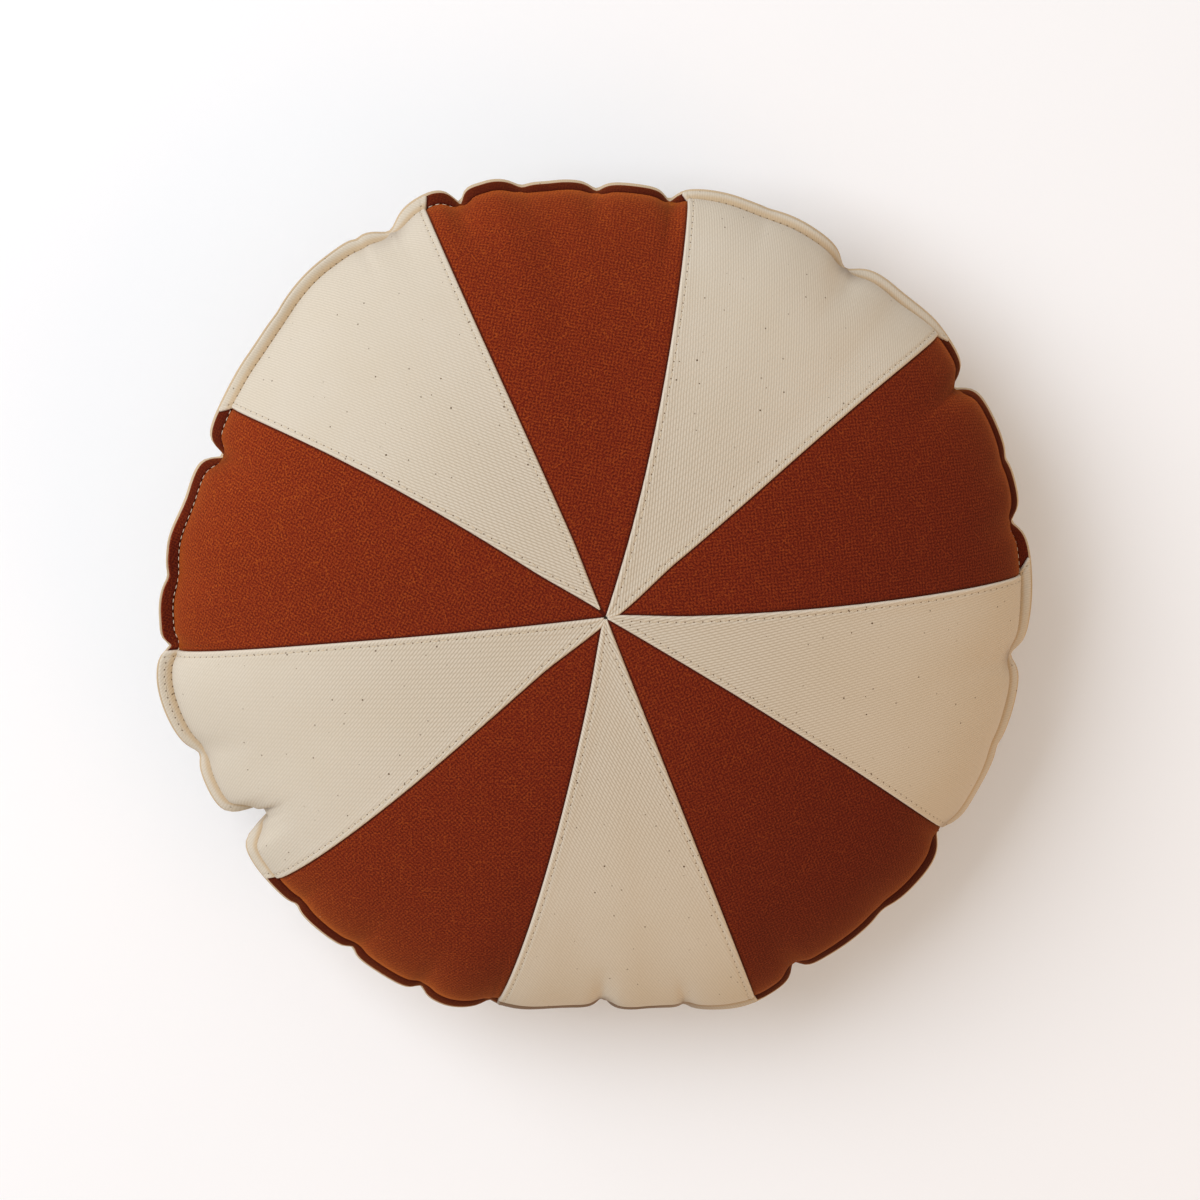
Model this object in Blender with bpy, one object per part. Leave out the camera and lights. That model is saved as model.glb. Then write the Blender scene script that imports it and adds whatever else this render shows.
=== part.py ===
"""Round patchwork cushion, lying on its back.

Ten wedge panels, ecru twill and rust linen in turn, meet at the crown of a filled ecru back.
Front and back end in one ruffled flange, drawn in by deep, uneven puckers.
Metres, +Z up, with the origin on the surface under the middle of the outline.
"""
import math

import bmesh
import bpy
from mathutils import Vector

MM = 0.001

# The filled form
RIM_HEIGHT = 60.0 * MM
CROWN_RISE = 73.0 * MM
ROUNDNESS = 2.3
SHOULDER = 0.70
FOOT_SHARE = 0.50

# Cloth, from the outer face of a rust wedge inwards
RUST_THICKNESS = 1.2 * MM
CREAM_PROUD = 0.6 * MM
BACK_THICKNESS = 1.8 * MM
GAP = 0.3 * MM
TIP_RADIUS = 1.7 * MM
NARROWEST_FLANGE = 2.6 * MM

# Shares of the way from the crown to the rim's stitch line, with the columns that each ring uses
FRONT_RINGS = (
    # share, detail
    (0.11, 0),
    (0.30, 0),
    (0.48, 0),
    (0.64, 1),
    (0.78, 1),
    (0.88, 2),
    (0.945, 2),
    (0.982, 2),
    (1.0, 2),
)
BACK_RINGS = (
    # share, detail
    (1.0, 2),
    (0.975, 2),
    (0.92, 2),
    (0.83, 2),
    (0.72, 1),
    (0.61, 1),
    (FOOT_SHARE, 1),
)

# Seams in degrees, counter-clockwise from the right: near the centre, half way out, at the rim's
# stitch line and at the flange's edge
SEAMS = (
    # inner, middle, stitch, edge
    (-1.0, 1.2, 2.8, 4.9),
    (36.4, 39.0, 37.6, 36.0),
    (71.5, 75.0, 77.2, 78.0),
    (112.6, 113.6, 113.7, 112.9),
    (146.5, 148.2, 152.0, 153.3),
    (186.8, 186.2, 186.9, 186.8),
    (220.4, 221.9, 221.2, 220.5),
    (258.7, 258.0, 256.2, 256.3),
    (291.2, 291.3, 291.3, 291.5),
    (329.3, 328.0, 325.9, 325.8),
)

# The rim between the puckers: how far it reaches, how wide the flange lies and how far its edge lifts
LOBES = (
    # angle, reach, flange, lift
    (3.0, 201.6, 6.9, -2.0),
    (16.0, 200.8, 6.2, -3.0),
    (25.0, 201.0, 5.0, -5.0),
    (38.0, 201.2, 5.2, -4.0),
    (46.0, 200.0, 6.0, -3.0),
    (60.0, 198.2, 6.0, -2.5),
    (70.0, 196.8, 5.6, -2.5),
    (84.0, 193.2, 4.8, -4.0),
    (96.0, 195.8, 5.2, -3.0),
    (105.0, 201.6, 6.4, -2.0),
    (113.0, 204.4, 7.6, 0.0),
    (129.0, 202.6, 7.6, 1.0),
    (145.0, 197.0, 7.5, 0.0),
    (153.0, 195.4, 7.0, -1.0),
    (165.0, 195.6, 7.0, -1.0),
    (173.0, 198.8, 7.5, 0.0),
    (182.0, 201.4, 7.6, 1.0),
    (192.0, 206.2, 8.0, 0.0),
    (206.0, 200.6, 5.6, -4.0),
    (222.0, 201.6, 5.2, -4.0),
    (232.0, 202.0, 5.2, -4.0),
    (249.0, 203.4, 4.8, -5.0),
    (258.0, 196.4, 3.4, -6.0),
    (267.0, 193.4, 3.2, -6.5),
    (276.0, 195.2, 3.4, -6.0),
    (291.0, 205.6, 4.8, -5.0),
    (303.0, 202.2, 5.2, -5.0),
    (319.0, 203.0, 6.0, -4.0),
    (333.0, 200.8, 5.6, -4.0),
    (345.0, 201.2, 6.4, -3.0),
)

# Puckers of the rim and the creases that run in from them
PUCKERS = (
    # angle, notch, half_width, crease, length
    (10.0, 6.0, 1.3, 2.2, 20.0),
    (18.5, 1.4, 1.0, 1.2, 12.0),
    (30.2, 11.0, 1.1, 4.5, 34.0),
    (52.8, 7.0, 2.0, 3.6, 30.0),
    (66.0, 0.6, 1.4, 1.4, 18.0),
    (79.6, 6.0, 1.2, 4.0, 36.0),
    (90.0, 4.2, 1.3, 2.2, 22.0),
    (100.4, 3.0, 1.4, 1.6, 16.0),
    (109.0, 8.0, 0.9, 3.0, 24.0),
    (119.3, 8.4, 2.2, 3.0, 30.0),
    (138.0, 0.6, 1.5, 1.6, 22.0),
    (158.9, 11.0, 1.0, 4.6, 36.0),
    (176.8, 2.4, 1.4, 1.6, 18.0),
    (186.2, 5.6, 0.9, 2.8, 36.0),
    (201.4, 5.0, 1.5, 2.6, 26.0),
    (213.2, 24.0, 1.1, 6.5, 50.0),
    (225.8, 2.0, 0.9, 1.6, 18.0),
    (235.2, 3.2, 0.9, 2.2, 22.0),
    (245.8, 4.4, 1.0, 2.8, 24.0),
    (255.2, 3.2, 1.0, 2.8, 28.0),
    (270.8, 6.4, 1.0, 3.6, 30.0),
    (282.0, 2.2, 0.8, 2.0, 20.0),
    (298.0, 7.0, 1.0, 3.8, 32.0),
    (312.0, 2.6, 2.2, 1.8, 18.0),
    (325.2, 8.0, 1.9, 4.0, 34.0),
    (339.0, 1.2, 1.2, 1.4, 16.0),
    (351.6, 6.8, 1.5, 3.4, 28.0),
)
NOTCH_REACH = 8.0
STITCH_NOTCH = 0.55
NOTCH_FADE = 9
NOTCH_LIFT = 0.08

# A crease is this much wider than its notch at the rim, widens on its way in, and runs past its
# length while it fades; it leaves the stitch line itself flat
CREASE_WIDTH = 1.6
CREASE_SPREAD = 0.16
CREASE_RUN = 1.6
CREASE_FADE = 1.5
CREASE_ROOT = 12

# Between the creases the cloth swells, and the stitch line waves up and down
SWELL = 1.6 * MM
SWELL_SHOULDER = 3.0
RIM_WAVES = (
    # times round, height, start
    (3, 1.2, 40.0),
    (7, 0.8, 0.0),
)

# Mesh columns: half widths off each pucker's middle, and the angles kept between columns
DEEP_NOTCH = 4.0
DEEP_STEPS = (0.0, -0.7, 0.7, -1.7, 1.7, -3.6, 3.6)
SHALLOW_STEPS = (0.0, -1.2, 1.2)
FILL_STEP = 4.0
FILL_CLEARANCE = 1.8
CLOSEST_COLUMNS = 0.5
LONGEST_MITRE = 2.0

ECRU = (0.64, 0.55, 0.43)
RUST = (0.22, 0.035, 0.010)
ECRU_ROUGHNESS = 0.90
RUST_ROUGHNESS = 0.85


def turn_between(first, second):
    """The signed turn in degrees from the first angle to the second, the short way round."""
    return (second - first + 180.0) % 360.0 - 180.0


def around(rows, column, angle):
    """A column of a table of angles, eased from row to row right round the rim."""
    count = len(rows)
    for index in range(count):
        here = rows[index]
        after = rows[(index + 1) % count]
        span = (after[0] - here[0]) % 360.0
        along = (angle - here[0]) % 360.0
        if along <= span:
            ease = 0.5 - 0.5 * math.cos(math.pi * along / span)
            return here[column] + (after[column] - here[column]) * ease
    return rows[0][column]


def notch(angle):
    """How far the puckers draw the rim in at an angle."""
    depth = 0.0
    floor = 1.0 / (1.0 + NOTCH_REACH ** 2)
    for place, deep, half_width, crease, length in PUCKERS:
        away = turn_between(place, angle) / half_width
        depth += deep * max(0.0, 1.0 / (1.0 + away * away) - floor)
    return depth * MM


def flange_width(angle):
    """The flange is narrower in a pucker, where its edge is drawn in further than its stitches."""
    width = around(LOBES, 2, angle) * MM
    return max(NARROWEST_FLANGE, width - (1.0 - STITCH_NOTCH) * notch(angle))


def reach(angle):
    """The radius of the flange's outer edge."""
    return around(LOBES, 1, angle) * MM - notch(angle)


def stitch_radius(angle, share=1.0):
    """The radius of the rim's stitch line, with its notches fading out towards the crown."""
    smooth = around(LOBES, 1, angle) * MM - around(LOBES, 2, angle) * MM
    sharp = reach(angle) - flange_width(angle)
    return smooth + (sharp - smooth) * share ** NOTCH_FADE


def crease_depth(angle, share):
    """The valley that runs in from each pucker, less the swell of the cloth between them."""
    inset = (1.0 - share) * stitch_radius(angle) / MM
    arc = math.radians(1.0) * stitch_radius(angle) / MM * share
    depth = 0.0
    for place, deep, half_width, crease, length in PUCKERS:
        width = CREASE_WIDTH * half_width * arc + CREASE_SPREAD * inset
        away = turn_between(place, angle) * arc / width
        fade = max(0.0, 1.0 - inset / (CREASE_RUN * length)) ** CREASE_FADE
        depth += crease * fade / (1.0 + away * away)
    swell = SWELL * math.sin(math.pi * share ** SWELL_SHOULDER)
    return (depth * MM - swell) * (1.0 - share ** CREASE_ROOT)


def rim_height(angle):
    """The stitch line waves a little: each deep pucker lifts it towards the crown."""
    wave = sum(height * math.sin(math.radians(times * angle + start)) for times, height, start in RIM_WAVES)
    return RIM_HEIGHT + wave * MM + NOTCH_LIFT * notch(angle)


def seam_edge(index):
    """The angle at which a seam leaves the flange."""
    return SEAMS[index % len(SEAMS)][3]


def seam_angle(index, share):
    """A seam bows: its angle runs on a curve through its inner, middle and stitch values."""
    inner, middle, stitch, edge = SEAMS[index % len(SEAMS)]
    rise = stitch - inner
    bow = middle - (inner + stitch) / 2.0
    return inner + rise * share + 4.0 * bow * share * (1.0 - share)


def swayed(angle, share):
    """An angle of the flange's edge carried in to a ring, following the seams on both sides of it."""
    for index in range(len(SEAMS)):
        start = seam_edge(index)
        span = (seam_edge(index + 1) - start) % 360.0
        along = (angle - start) % 360.0
        if along < span:
            first = turn_between(start, seam_angle(index, share))
            second = turn_between(seam_edge(index + 1), seam_angle(index + 1, share))
            return angle + first + (second - first) * along / span
    return angle


def polar(radius, angle, height):
    """A point from its radius, its angle in degrees and its height."""
    turn = math.radians(angle)
    return Vector((radius * math.cos(turn), radius * math.sin(turn), height))


def front_point(angle, share):
    """A point of the front face, from the crown (share 0) to the stitch line (share 1)."""
    crown = max(0.0, 1.0 - share ** ROUNDNESS) ** SHOULDER
    uneven = rim_height(angle) - RIM_HEIGHT - crease_depth(angle, share) * share
    height = RIM_HEIGHT + CROWN_RISE * crown + uneven * share ** 2
    return polar(stitch_radius(angle, share) * share, swayed(angle, share), height)


def back_point(angle, share, top):
    """A point of the back, from under the stitch line (share 1) to the edge of the foot."""
    full = (1.0 - FOOT_SHARE ** ROUNDNESS) ** SHOULDER
    drop = max(0.0, 1.0 - share ** ROUNDNESS) ** SHOULDER / full
    crease = crease_depth(angle, share) * min(1.0, 2.0 - 2.0 * drop)
    return polar(stitch_radius(angle, share) * share, swayed(angle, share), top * (1.0 - drop) + crease)


def flange_point(angle):
    """The outer edge of the flange's front layer."""
    lift = around(LOBES, 3, angle) * MM
    return polar(reach(angle), angle, rim_height(angle) + lift)


def columns():
    """The rim angles that the mesh uses, each with the detail level at which it appears."""
    chosen = []
    for index in range(len(SEAMS)):
        start = seam_edge(index) % 360.0
        span = (seam_edge(index + 1) - start) % 360.0
        chosen.append((start, 0))
        chosen.append(((start + span / 3.0) % 360.0, 0))
        chosen.append(((start + span * 2.0 / 3.0) % 360.0, 0))
    for place, deep, half_width, crease, length in PUCKERS:
        for step in DEEP_STEPS if deep >= DEEP_NOTCH else SHALLOW_STEPS:
            angle = (place + step * half_width) % 360.0
            if all(abs(turn_between(angle, other)) > CLOSEST_COLUMNS for other, level in chosen):
                chosen.append((angle, 1 if step == 0.0 else 2))
    for index in range(int(360.0 / FILL_STEP)):
        angle = index * FILL_STEP
        if all(abs(turn_between(angle, other)) > FILL_CLEARANCE for other, level in chosen):
            chosen.append((angle, 1))
    chosen.sort()
    start = next(index for index, (angle, level) in enumerate(chosen) if level == 0)
    return chosen[start:] + chosen[:start]


class Ring:
    """One ring of points: the columns that it uses, with a point for each."""

    def __init__(self, table, detail, place):
        self.points = {}
        for index, (angle, level) in enumerate(table):
            if level <= detail:
                self.points[index] = place(angle)

    def run(self, first, last, count):
        """The ring's columns from first to last, going round."""
        span = (last - first) % count or count
        return [(first + step) % count for step in range(span + 1) if (first + step) % count in self.points]


def strip(inner, outer):
    """Triangles between two runs of columns, where either may skip columns of the other."""
    faces = []
    low = 0
    high = 0
    while low < len(inner) - 1 or high < len(outer) - 1:
        next_low = inner[low + 1][1] if low < len(inner) - 1 else math.inf
        next_high = outer[high + 1][1] if high < len(outer) - 1 else math.inf
        if next_high <= next_low:
            faces.append((inner[low][0], outer[high][0], outer[high + 1][0]))
            high += 1
        else:
            faces.append((inner[low][0], outer[high][0], inner[low + 1][0]))
            low += 1
    return faces


def front_rings(table):
    """The outer face of the front: a tip ring, the crown's rings and the edge of the flange."""
    rings = [Ring(table, 0, lambda angle: front_point(angle, TIP_RADIUS / stitch_radius(angle)))]
    for share, detail in FRONT_RINGS:
        rings.append(Ring(table, detail, lambda angle, share=share: front_point(angle, share)))
    rings.append(Ring(table, 2, flange_point))
    return rings


def shell_directions(table, rings):
    """For each point of the front, the step that moves it one metre square off the face, mitred at folds."""
    count = len(table)
    grid = bmesh.new()
    verts = {}
    for level, ring in enumerate(rings):
        for column, point in ring.points.items():
            verts[level, column] = grid.verts.new(point)
    for level in range(len(rings) - 1):
        inner = [(verts[level, c], step) for step, c in numbered(rings[level], 0, 0, count)]
        outer = [(verts[level + 1, c], step) for step, c in numbered(rings[level + 1], 0, 0, count)]
        for corners in strip(inner, outer):
            grid.faces.new(corners)
    grid.normal_update()
    steps = {key: vert.normal * min(LONGEST_MITRE, vert.calc_shell_factor()) for key, vert in verts.items()}
    grid.free()
    if steps[0, 0].z < 0.0:
        steps = {key: -step for key, step in steps.items()}
    return steps


def numbered(ring, first, last, count):
    """The run of a ring's columns, each with its place counted from the first."""
    run = ring.run(first, last, count)
    places = [(column - first) % count for column in run]
    if first == last:
        places[-1] = count
    return list(zip(places, run))


def sheet_layer(mesh, rings, steps, depth, first, last, count):
    """One face of a wedge, at a depth off the front, drawn in from its two seams by half a gap."""
    layer = []
    for level, ring in enumerate(rings):
        places = numbered(ring, first, last, count)
        points = [ring.points[column] + steps[level, column] * depth for place, column in places]
        into_first = (points[1] - points[0]).normalized() * (GAP / 2.0)
        into_last = (points[-2] - points[-1]).normalized() * (GAP / 2.0)
        points[0] = points[0] + into_first
        points[-1] = points[-1] + into_last
        layer.append([(mesh.verts.new(point), place[0]) for point, place in zip(points, places)])
    return layer


def wedge_panel(name, table, rings, steps, seam, proud):
    """A wedge of cloth from the centre to the flange's edge, closed all round."""
    count = len(table)
    first = column_at(table, seam_edge(seam))
    last = column_at(table, seam_edge(seam + 1))
    mesh = bmesh.new()
    outer = sheet_layer(mesh, rings, steps, proud, first, last, count)
    inner = sheet_layer(mesh, rings, steps, -RUST_THICKNESS, first, last, count)
    for level in range(len(rings) - 1):
        for corners in strip(outer[level], outer[level + 1]):
            mesh.faces.new(corners)
        for corners in strip(inner[level], inner[level + 1]):
            mesh.faces.new(reversed(corners))
    edges = [edge for edge in mesh.edges if len(edge.link_faces) == 1]
    bmesh.ops.bridge_loops(mesh, edges=edges)
    return finish(name, mesh)


def column_at(table, angle):
    """The column that lies on a seam's angle."""
    return min(range(len(table)), key=lambda index: abs(turn_between(table[index][0], angle)))


def filled_back(name, table, rings, steps):
    """The filled solid: its crown lies under the wedges, and its lower face is the back panel."""
    count = len(table)
    mesh = bmesh.new()
    depth = RUST_THICKNESS + GAP
    levels = []
    for level, ring in enumerate(rings):
        places = numbered(ring, 0, 0, count)[:-1]
        levels.append([(mesh.verts.new(ring.points[c] - steps[level, c] * depth), p) for p, c in places])
    under = depth + BACK_THICKNESS
    edge = len(rings) - 1
    lower_edge = []
    stitch_height = {}
    for place, column in numbered(rings[edge], 0, 0, count)[:-1]:
        point = rings[edge].points[column] - Vector((0.0, 0.0, 1.0)) * under
        lower_edge.append((mesh.verts.new(point), place))
        stitch_height[column] = rings[edge - 1].points[column].z - under
    levels.append(lower_edge)
    for share, detail in BACK_RINGS:
        ring = []
        for column, (angle, level) in enumerate(table):
            if level <= detail:
                point = back_point(angle, share, stitch_height[column])
                ring.append((mesh.verts.new(point), column))
        levels.append(ring)
    for low, high in zip(levels, levels[1:]):
        for corners in strip(low + [(low[0][0], count)], high + [(high[0][0], count)]):
            mesh.faces.new(corners)
    for ring in (levels[0], levels[-1]):
        bmesh.ops.contextual_create(mesh, geom=[vert for vert, place in ring])
    return finish(name, mesh)


def finish(name, mesh):
    """Closed, facing out and in triangles, as an object of the scene."""
    bmesh.ops.triangulate(mesh, faces=mesh.faces[:])
    bmesh.ops.recalc_face_normals(mesh, faces=mesh.faces[:])
    data = bpy.data.meshes.new(name)
    mesh.to_mesh(data)
    mesh.free()
    data.shade_smooth()
    piece = bpy.data.objects.new(name, data)
    bpy.context.scene.collection.objects.link(piece)
    return piece


def dress(piece, colour, roughness):
    """The piece's own cloth: a matt Principled material."""
    cloth = bpy.data.materials.new(piece.name + "_cloth")
    cloth.use_nodes = True
    shader = cloth.node_tree.nodes["Principled BSDF"]
    shader.inputs["Base Color"].default_value = (*colour, 1.0)
    shader.inputs["Roughness"].default_value = roughness
    shader.inputs["Metallic"].default_value = 0.0
    piece.data.materials.append(cloth)


def main():
    for old in list(bpy.data.objects):
        bpy.data.objects.remove(old)
    table = columns()
    rings = front_rings(table)
    steps = shell_directions(table, rings)
    back = filled_back("filled_back", table, rings, steps)
    dress(back, ECRU, ECRU_ROUGHNESS)
    for seam in range(len(SEAMS)):
        pair = seam // 2 + 1
        if seam % 2 == 1:
            panel = wedge_panel(f"cream_wedge_{pair}", table, rings, steps, seam, CREAM_PROUD)
            dress(panel, ECRU, ECRU_ROUGHNESS)
        else:
            panel = wedge_panel(f"rust_wedge_{pair}", table, rings, steps, seam, 0.0)
            dress(panel, RUST, RUST_ROUGHNESS)


main()
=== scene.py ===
"""The looks of a round patchwork cushion that lies on its back.

Ecru twill and rust linen wedges are stretched over the filled form, with their turned seams, topstitching
and ruffled flange. Everything is in metres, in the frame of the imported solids.
"""
import math

import bmesh
import bpy
import numpy as np
from bpy.props import FloatProperty, FloatVectorProperty, PointerProperty
from mathutils import Matrix, Vector


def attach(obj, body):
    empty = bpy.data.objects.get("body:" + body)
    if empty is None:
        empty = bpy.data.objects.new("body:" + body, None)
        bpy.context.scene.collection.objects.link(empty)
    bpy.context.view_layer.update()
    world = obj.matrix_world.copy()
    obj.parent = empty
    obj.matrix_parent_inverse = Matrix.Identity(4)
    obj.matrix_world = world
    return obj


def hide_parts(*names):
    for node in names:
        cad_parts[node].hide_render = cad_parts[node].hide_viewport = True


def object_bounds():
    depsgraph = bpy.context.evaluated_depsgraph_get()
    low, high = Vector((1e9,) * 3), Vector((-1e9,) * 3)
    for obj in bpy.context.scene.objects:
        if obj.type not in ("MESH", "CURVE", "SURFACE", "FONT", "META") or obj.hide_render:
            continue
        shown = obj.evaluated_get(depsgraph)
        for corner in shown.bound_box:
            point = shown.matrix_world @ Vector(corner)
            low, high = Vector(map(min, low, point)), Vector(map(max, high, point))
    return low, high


bl_info = {
    "name": "Round patchwork cushion",
    "version": (1, 0, 0),
    "blender": (4, 5, 0),
    "location": "3D View > Sidebar > Cushion",
    "description": "Builds the cloth, the sewing and the stage of a round patchwork cushion",
    "category": "Object",
}

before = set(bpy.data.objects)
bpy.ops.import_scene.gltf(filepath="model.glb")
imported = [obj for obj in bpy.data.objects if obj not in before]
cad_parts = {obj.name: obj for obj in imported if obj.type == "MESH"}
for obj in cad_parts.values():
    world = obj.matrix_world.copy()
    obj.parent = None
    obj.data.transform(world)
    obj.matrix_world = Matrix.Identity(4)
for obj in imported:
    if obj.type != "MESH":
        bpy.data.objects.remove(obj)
SOLID_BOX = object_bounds()
MM = 0.001
TOP = SOLID_BOX[1][2]

# Seams in degrees, counter-clockwise from the right: near the centre, half way out, at the rim's
# stitch line and at the flange's edge. The wedge after the first seam is rust, and they take turns.
SEAMS = (
    # inner, middle, stitch, edge
    (-1.0, 1.2, 2.8, 4.9),
    (36.4, 39.0, 37.6, 36.0),
    (71.5, 75.0, 77.2, 78.0),
    (112.6, 113.6, 113.7, 112.9),
    (146.5, 148.2, 152.0, 153.3),
    (186.8, 186.2, 186.9, 186.8),
    (220.4, 221.9, 221.2, 220.5),
    (258.7, 258.0, 256.2, 256.3),
    (291.2, 291.3, 291.3, 291.5),
    (329.3, 328.0, 325.9, 325.8),
)

# The rim between the puckers, in millimetres: how far it reaches, how much of the flange shows past the
# crown and how far its edge lifts
LOBES = (
    # angle, reach, flange, lift
    (3.0, 201.6, 6.9, -1.0),
    (16.0, 200.8, 4.6, -4.0),
    (25.0, 201.0, 4.2, -5.0),
    (38.0, 201.2, 4.6, -4.0),
    (46.0, 198.4, 5.6, -3.0),
    (60.0, 197.0, 5.8, -2.5),
    (70.0, 194.8, 5.4, -2.5),
    (84.0, 190.6, 4.4, -4.4),
    (96.0, 192.4, 4.6, -4.2),
    (105.0, 198.2, 5.2, -3.8),
    (113.0, 202.2, 6.6, -2.8),
    (129.0, 200.4, 6.4, 1.0),
    (145.0, 195.2, 6.4, 0.5),
    (153.0, 194.4, 6.2, -2.8),
    (165.0, 194.2, 5.2, -2.6),
    (173.0, 198.8, 6.4, 1.0),
    (182.0, 201.4, 7.4, 2.0),
    (192.0, 206.2, 8.0, 1.0),
    (206.0, 200.6, 6.4, -2.0),
    (222.0, 201.6, 6.2, -4.0),
    (232.0, 202.0, 5.8, -4.0),
    (249.0, 204.4, 5.8, -5.0),
    (258.0, 197.4, 4.6, -6.5),
    (267.0, 193.8, 4.2, -7.0),
    (276.0, 195.6, 4.2, -6.5),
    (291.0, 205.6, 5.2, -5.0),
    (303.0, 202.2, 5.4, -5.0),
    (319.0, 203.0, 6.2, -4.4),
    (333.0, 200.8, 5.0, -4.0),
    (345.0, 201.2, 6.0, -3.0),
)

# Puckers of the rim, in degrees and millimetres, and the creases that run in from them
PUCKERS = (
    # angle, notch, half_width, crease, length
    (10.0, 6.0, 1.3, 2.2, 20.0),
    (18.5, 1.4, 1.0, 1.2, 12.0),
    (30.2, 11.0, 1.1, 4.5, 34.0),
    (52.8, 8.6, 2.0, 3.6, 30.0),
    (66.0, 0.6, 1.4, 1.4, 18.0),
    (79.6, 6.0, 1.2, 4.0, 36.0),
    (90.0, 4.2, 1.3, 2.2, 22.0),
    (100.4, 3.0, 1.4, 1.6, 16.0),
    (109.0, 8.0, 0.9, 3.0, 24.0),
    (119.3, 8.4, 2.2, 3.0, 30.0),
    (123.6, 1.2, 0.6, 2.2, 14.0),
    (138.0, 0.6, 1.5, 1.6, 22.0),
    (158.9, 11.0, 1.0, 4.6, 36.0),
    (176.8, 2.4, 1.4, 1.6, 18.0),
    (186.2, 5.6, 0.9, 2.8, 36.0),
    (201.4, 5.0, 1.5, 2.6, 26.0),
    (211.8, 17.0, 0.8, 11.0, 24.0),
    (225.8, 2.0, 0.9, 1.6, 18.0),
    (235.2, 3.2, 0.9, 2.2, 22.0),
    (245.8, 4.4, 1.0, 2.8, 24.0),
    (255.2, 3.2, 1.0, 2.8, 28.0),
    (270.8, 6.4, 1.0, 5.0, 22.0),
    (282.0, 2.6, 0.8, 3.4, 16.0),
    (298.0, 7.0, 1.0, 3.8, 32.0),
    (312.0, 2.6, 2.2, 1.8, 18.0),
    (325.2, 8.0, 1.9, 4.0, 34.0),
    (339.0, 1.2, 1.2, 1.4, 16.0),
    (351.6, 6.8, 1.5, 3.4, 28.0),
    # The other side of the deep fold at 212 degrees
    (213.2, 16.0, 0.8, 0.0, 10.0),
)
# How many half widths a notch reaches, the share of the way out from which the crown feels it, how it
# fades in from there, and how much it lifts the rim
NOTCH_REACH = 8.0
NOTCH_FROM = 0.86
NOTCH_FADE = 1.7
NOTCH_LIFT = 0.08

# How far short of the centre each wedge stops, in millimetres, going round from the rust one on the right
TIPS = (6.0, 0.6, 0.8, 4.6, 0.9, 0.9, 4.8, 0.7, 1.6, 0.9)

# Where the two seams of a wedge meet short of the centre, so that its neighbours close up past it
APEXES = (
    # first seam, distance, angle
    (0, 5.6, 10.0),
    (3, 4.2, 126.0),
    (6, 4.4, 247.0),
)
APEX_FADE = 40.0

# Slow waves of the rim's height, in millimetres and degrees
RIM_WAVES = (
    # times round, height, start
    (3, 1.2, 40.0),
    (7, 0.8, 0.0),
)

# Small waves of the flange's outer edge, in the same measures
RUFFLES = (
    # times round, height, start
    (19, 0.45, 10.0),
    (31, 0.35, 75.0),
    (47, 0.25, 140.0),
)

# The outline is worked out once, this finely, and read between
RIM_STEPS = 7200
WHOLE_TURN = 360.0

# In a pucker what shows of the flange closes up, and a crease of over POCKET_CREASE millimetres, in full
# POCKET_SHUT more, shuts a pocket that gets painted dark shade. Both are so much narrower than the notch.
PINCH_NARROW = 2.0
PINCH_DEEP = 0.6
LEAST_FLANGE = 0.5
POCKET_NARROW = 1.3
POCKET_CREASE = 2.4
POCKET_SHUT = 2.2
# How far a notch draws the flange's edge down, up to a notch of so many millimetres
NOTCH_SINK = 0.35
DEEPEST_SINK = 12.0

# The height of the stitches, the crown over them, and how round and how square-shouldered it is
RIM_HEIGHT = 60.0 * MM
CROWN_RISE = TOP - RIM_HEIGHT
ROUNDNESS = 2.3
SHOULDER = 0.70
# The crown's widest line stands over the stitches, which lie inside it, most of all in a pucker
TUCK_RISE = 4.5 * MM
TUCK_IN = 0.5 * MM
POCKET_IN = 0.12
# The creases inwards from the puckers, and the swell of the cloth between them in millimetres
CREASE_WIDTH = 0.75
CREASE_SPREAD = 0.12
CREASE_RUN = 1.25
CREASE_FADE = 1.5
CREASE_LEAN = 0.6
SWELL = 1.6
SWELL_SHOULDER = 3.0
# The share of the back that lies flat, and how far its widest line is under the stitches
FOOT_SHARE = 0.50
BACK_TUCK = 6.6 * MM
FLANGE_CURVE = 1.5


def eased(rows, column, angle):
    """A column of a table of angles, eased from row to row right round the rim."""
    places = np.array([row[0] for row in rows])
    values = np.array([row[column] for row in rows])
    places = np.append(places, places[0] + WHOLE_TURN)
    values = np.append(values, values[0])
    turned = (angle - places[0]) % WHOLE_TURN + places[0]
    index = np.clip(np.searchsorted(places, turned, side="right") - 1, 0, len(rows) - 1)
    share = (turned - places[index]) / (places[index + 1] - places[index])
    ease = 0.5 - 0.5 * np.cos(np.pi * share)
    return values[index] + (values[index + 1] - values[index]) * ease


def turn_between(first, second):
    """The signed turn in degrees from one angle to another, the short way round."""
    return (second - first + 180.0) % WHOLE_TURN - 180.0


def waving(rows, angle):
    """The sum of some waves that run round the rim."""
    return sum(height * np.sin(np.radians(times * angle + start)) for times, height, start in rows)


def drawn_in(reach, shows):
    """The crown's edge: inside the outline everywhere by what shows of the flange, square to the outline."""
    step = math.radians(WHOLE_TURN / RIM_STEPS)
    edge = reach - shows
    most = int(np.max(shows) / (np.min(reach) * step)) + 1
    for number in range(-most, most + 1):
        far = np.roll(reach, number)
        wide = np.roll(shows, number)
        inside = wide ** 2 - (far * math.sin(number * step)) ** 2
        limit = far * math.cos(number * step) - np.sqrt(np.maximum(inside, 0.0))
        edge = np.where(inside > 0.0, np.minimum(edge, limit), edge)
    return edge


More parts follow.
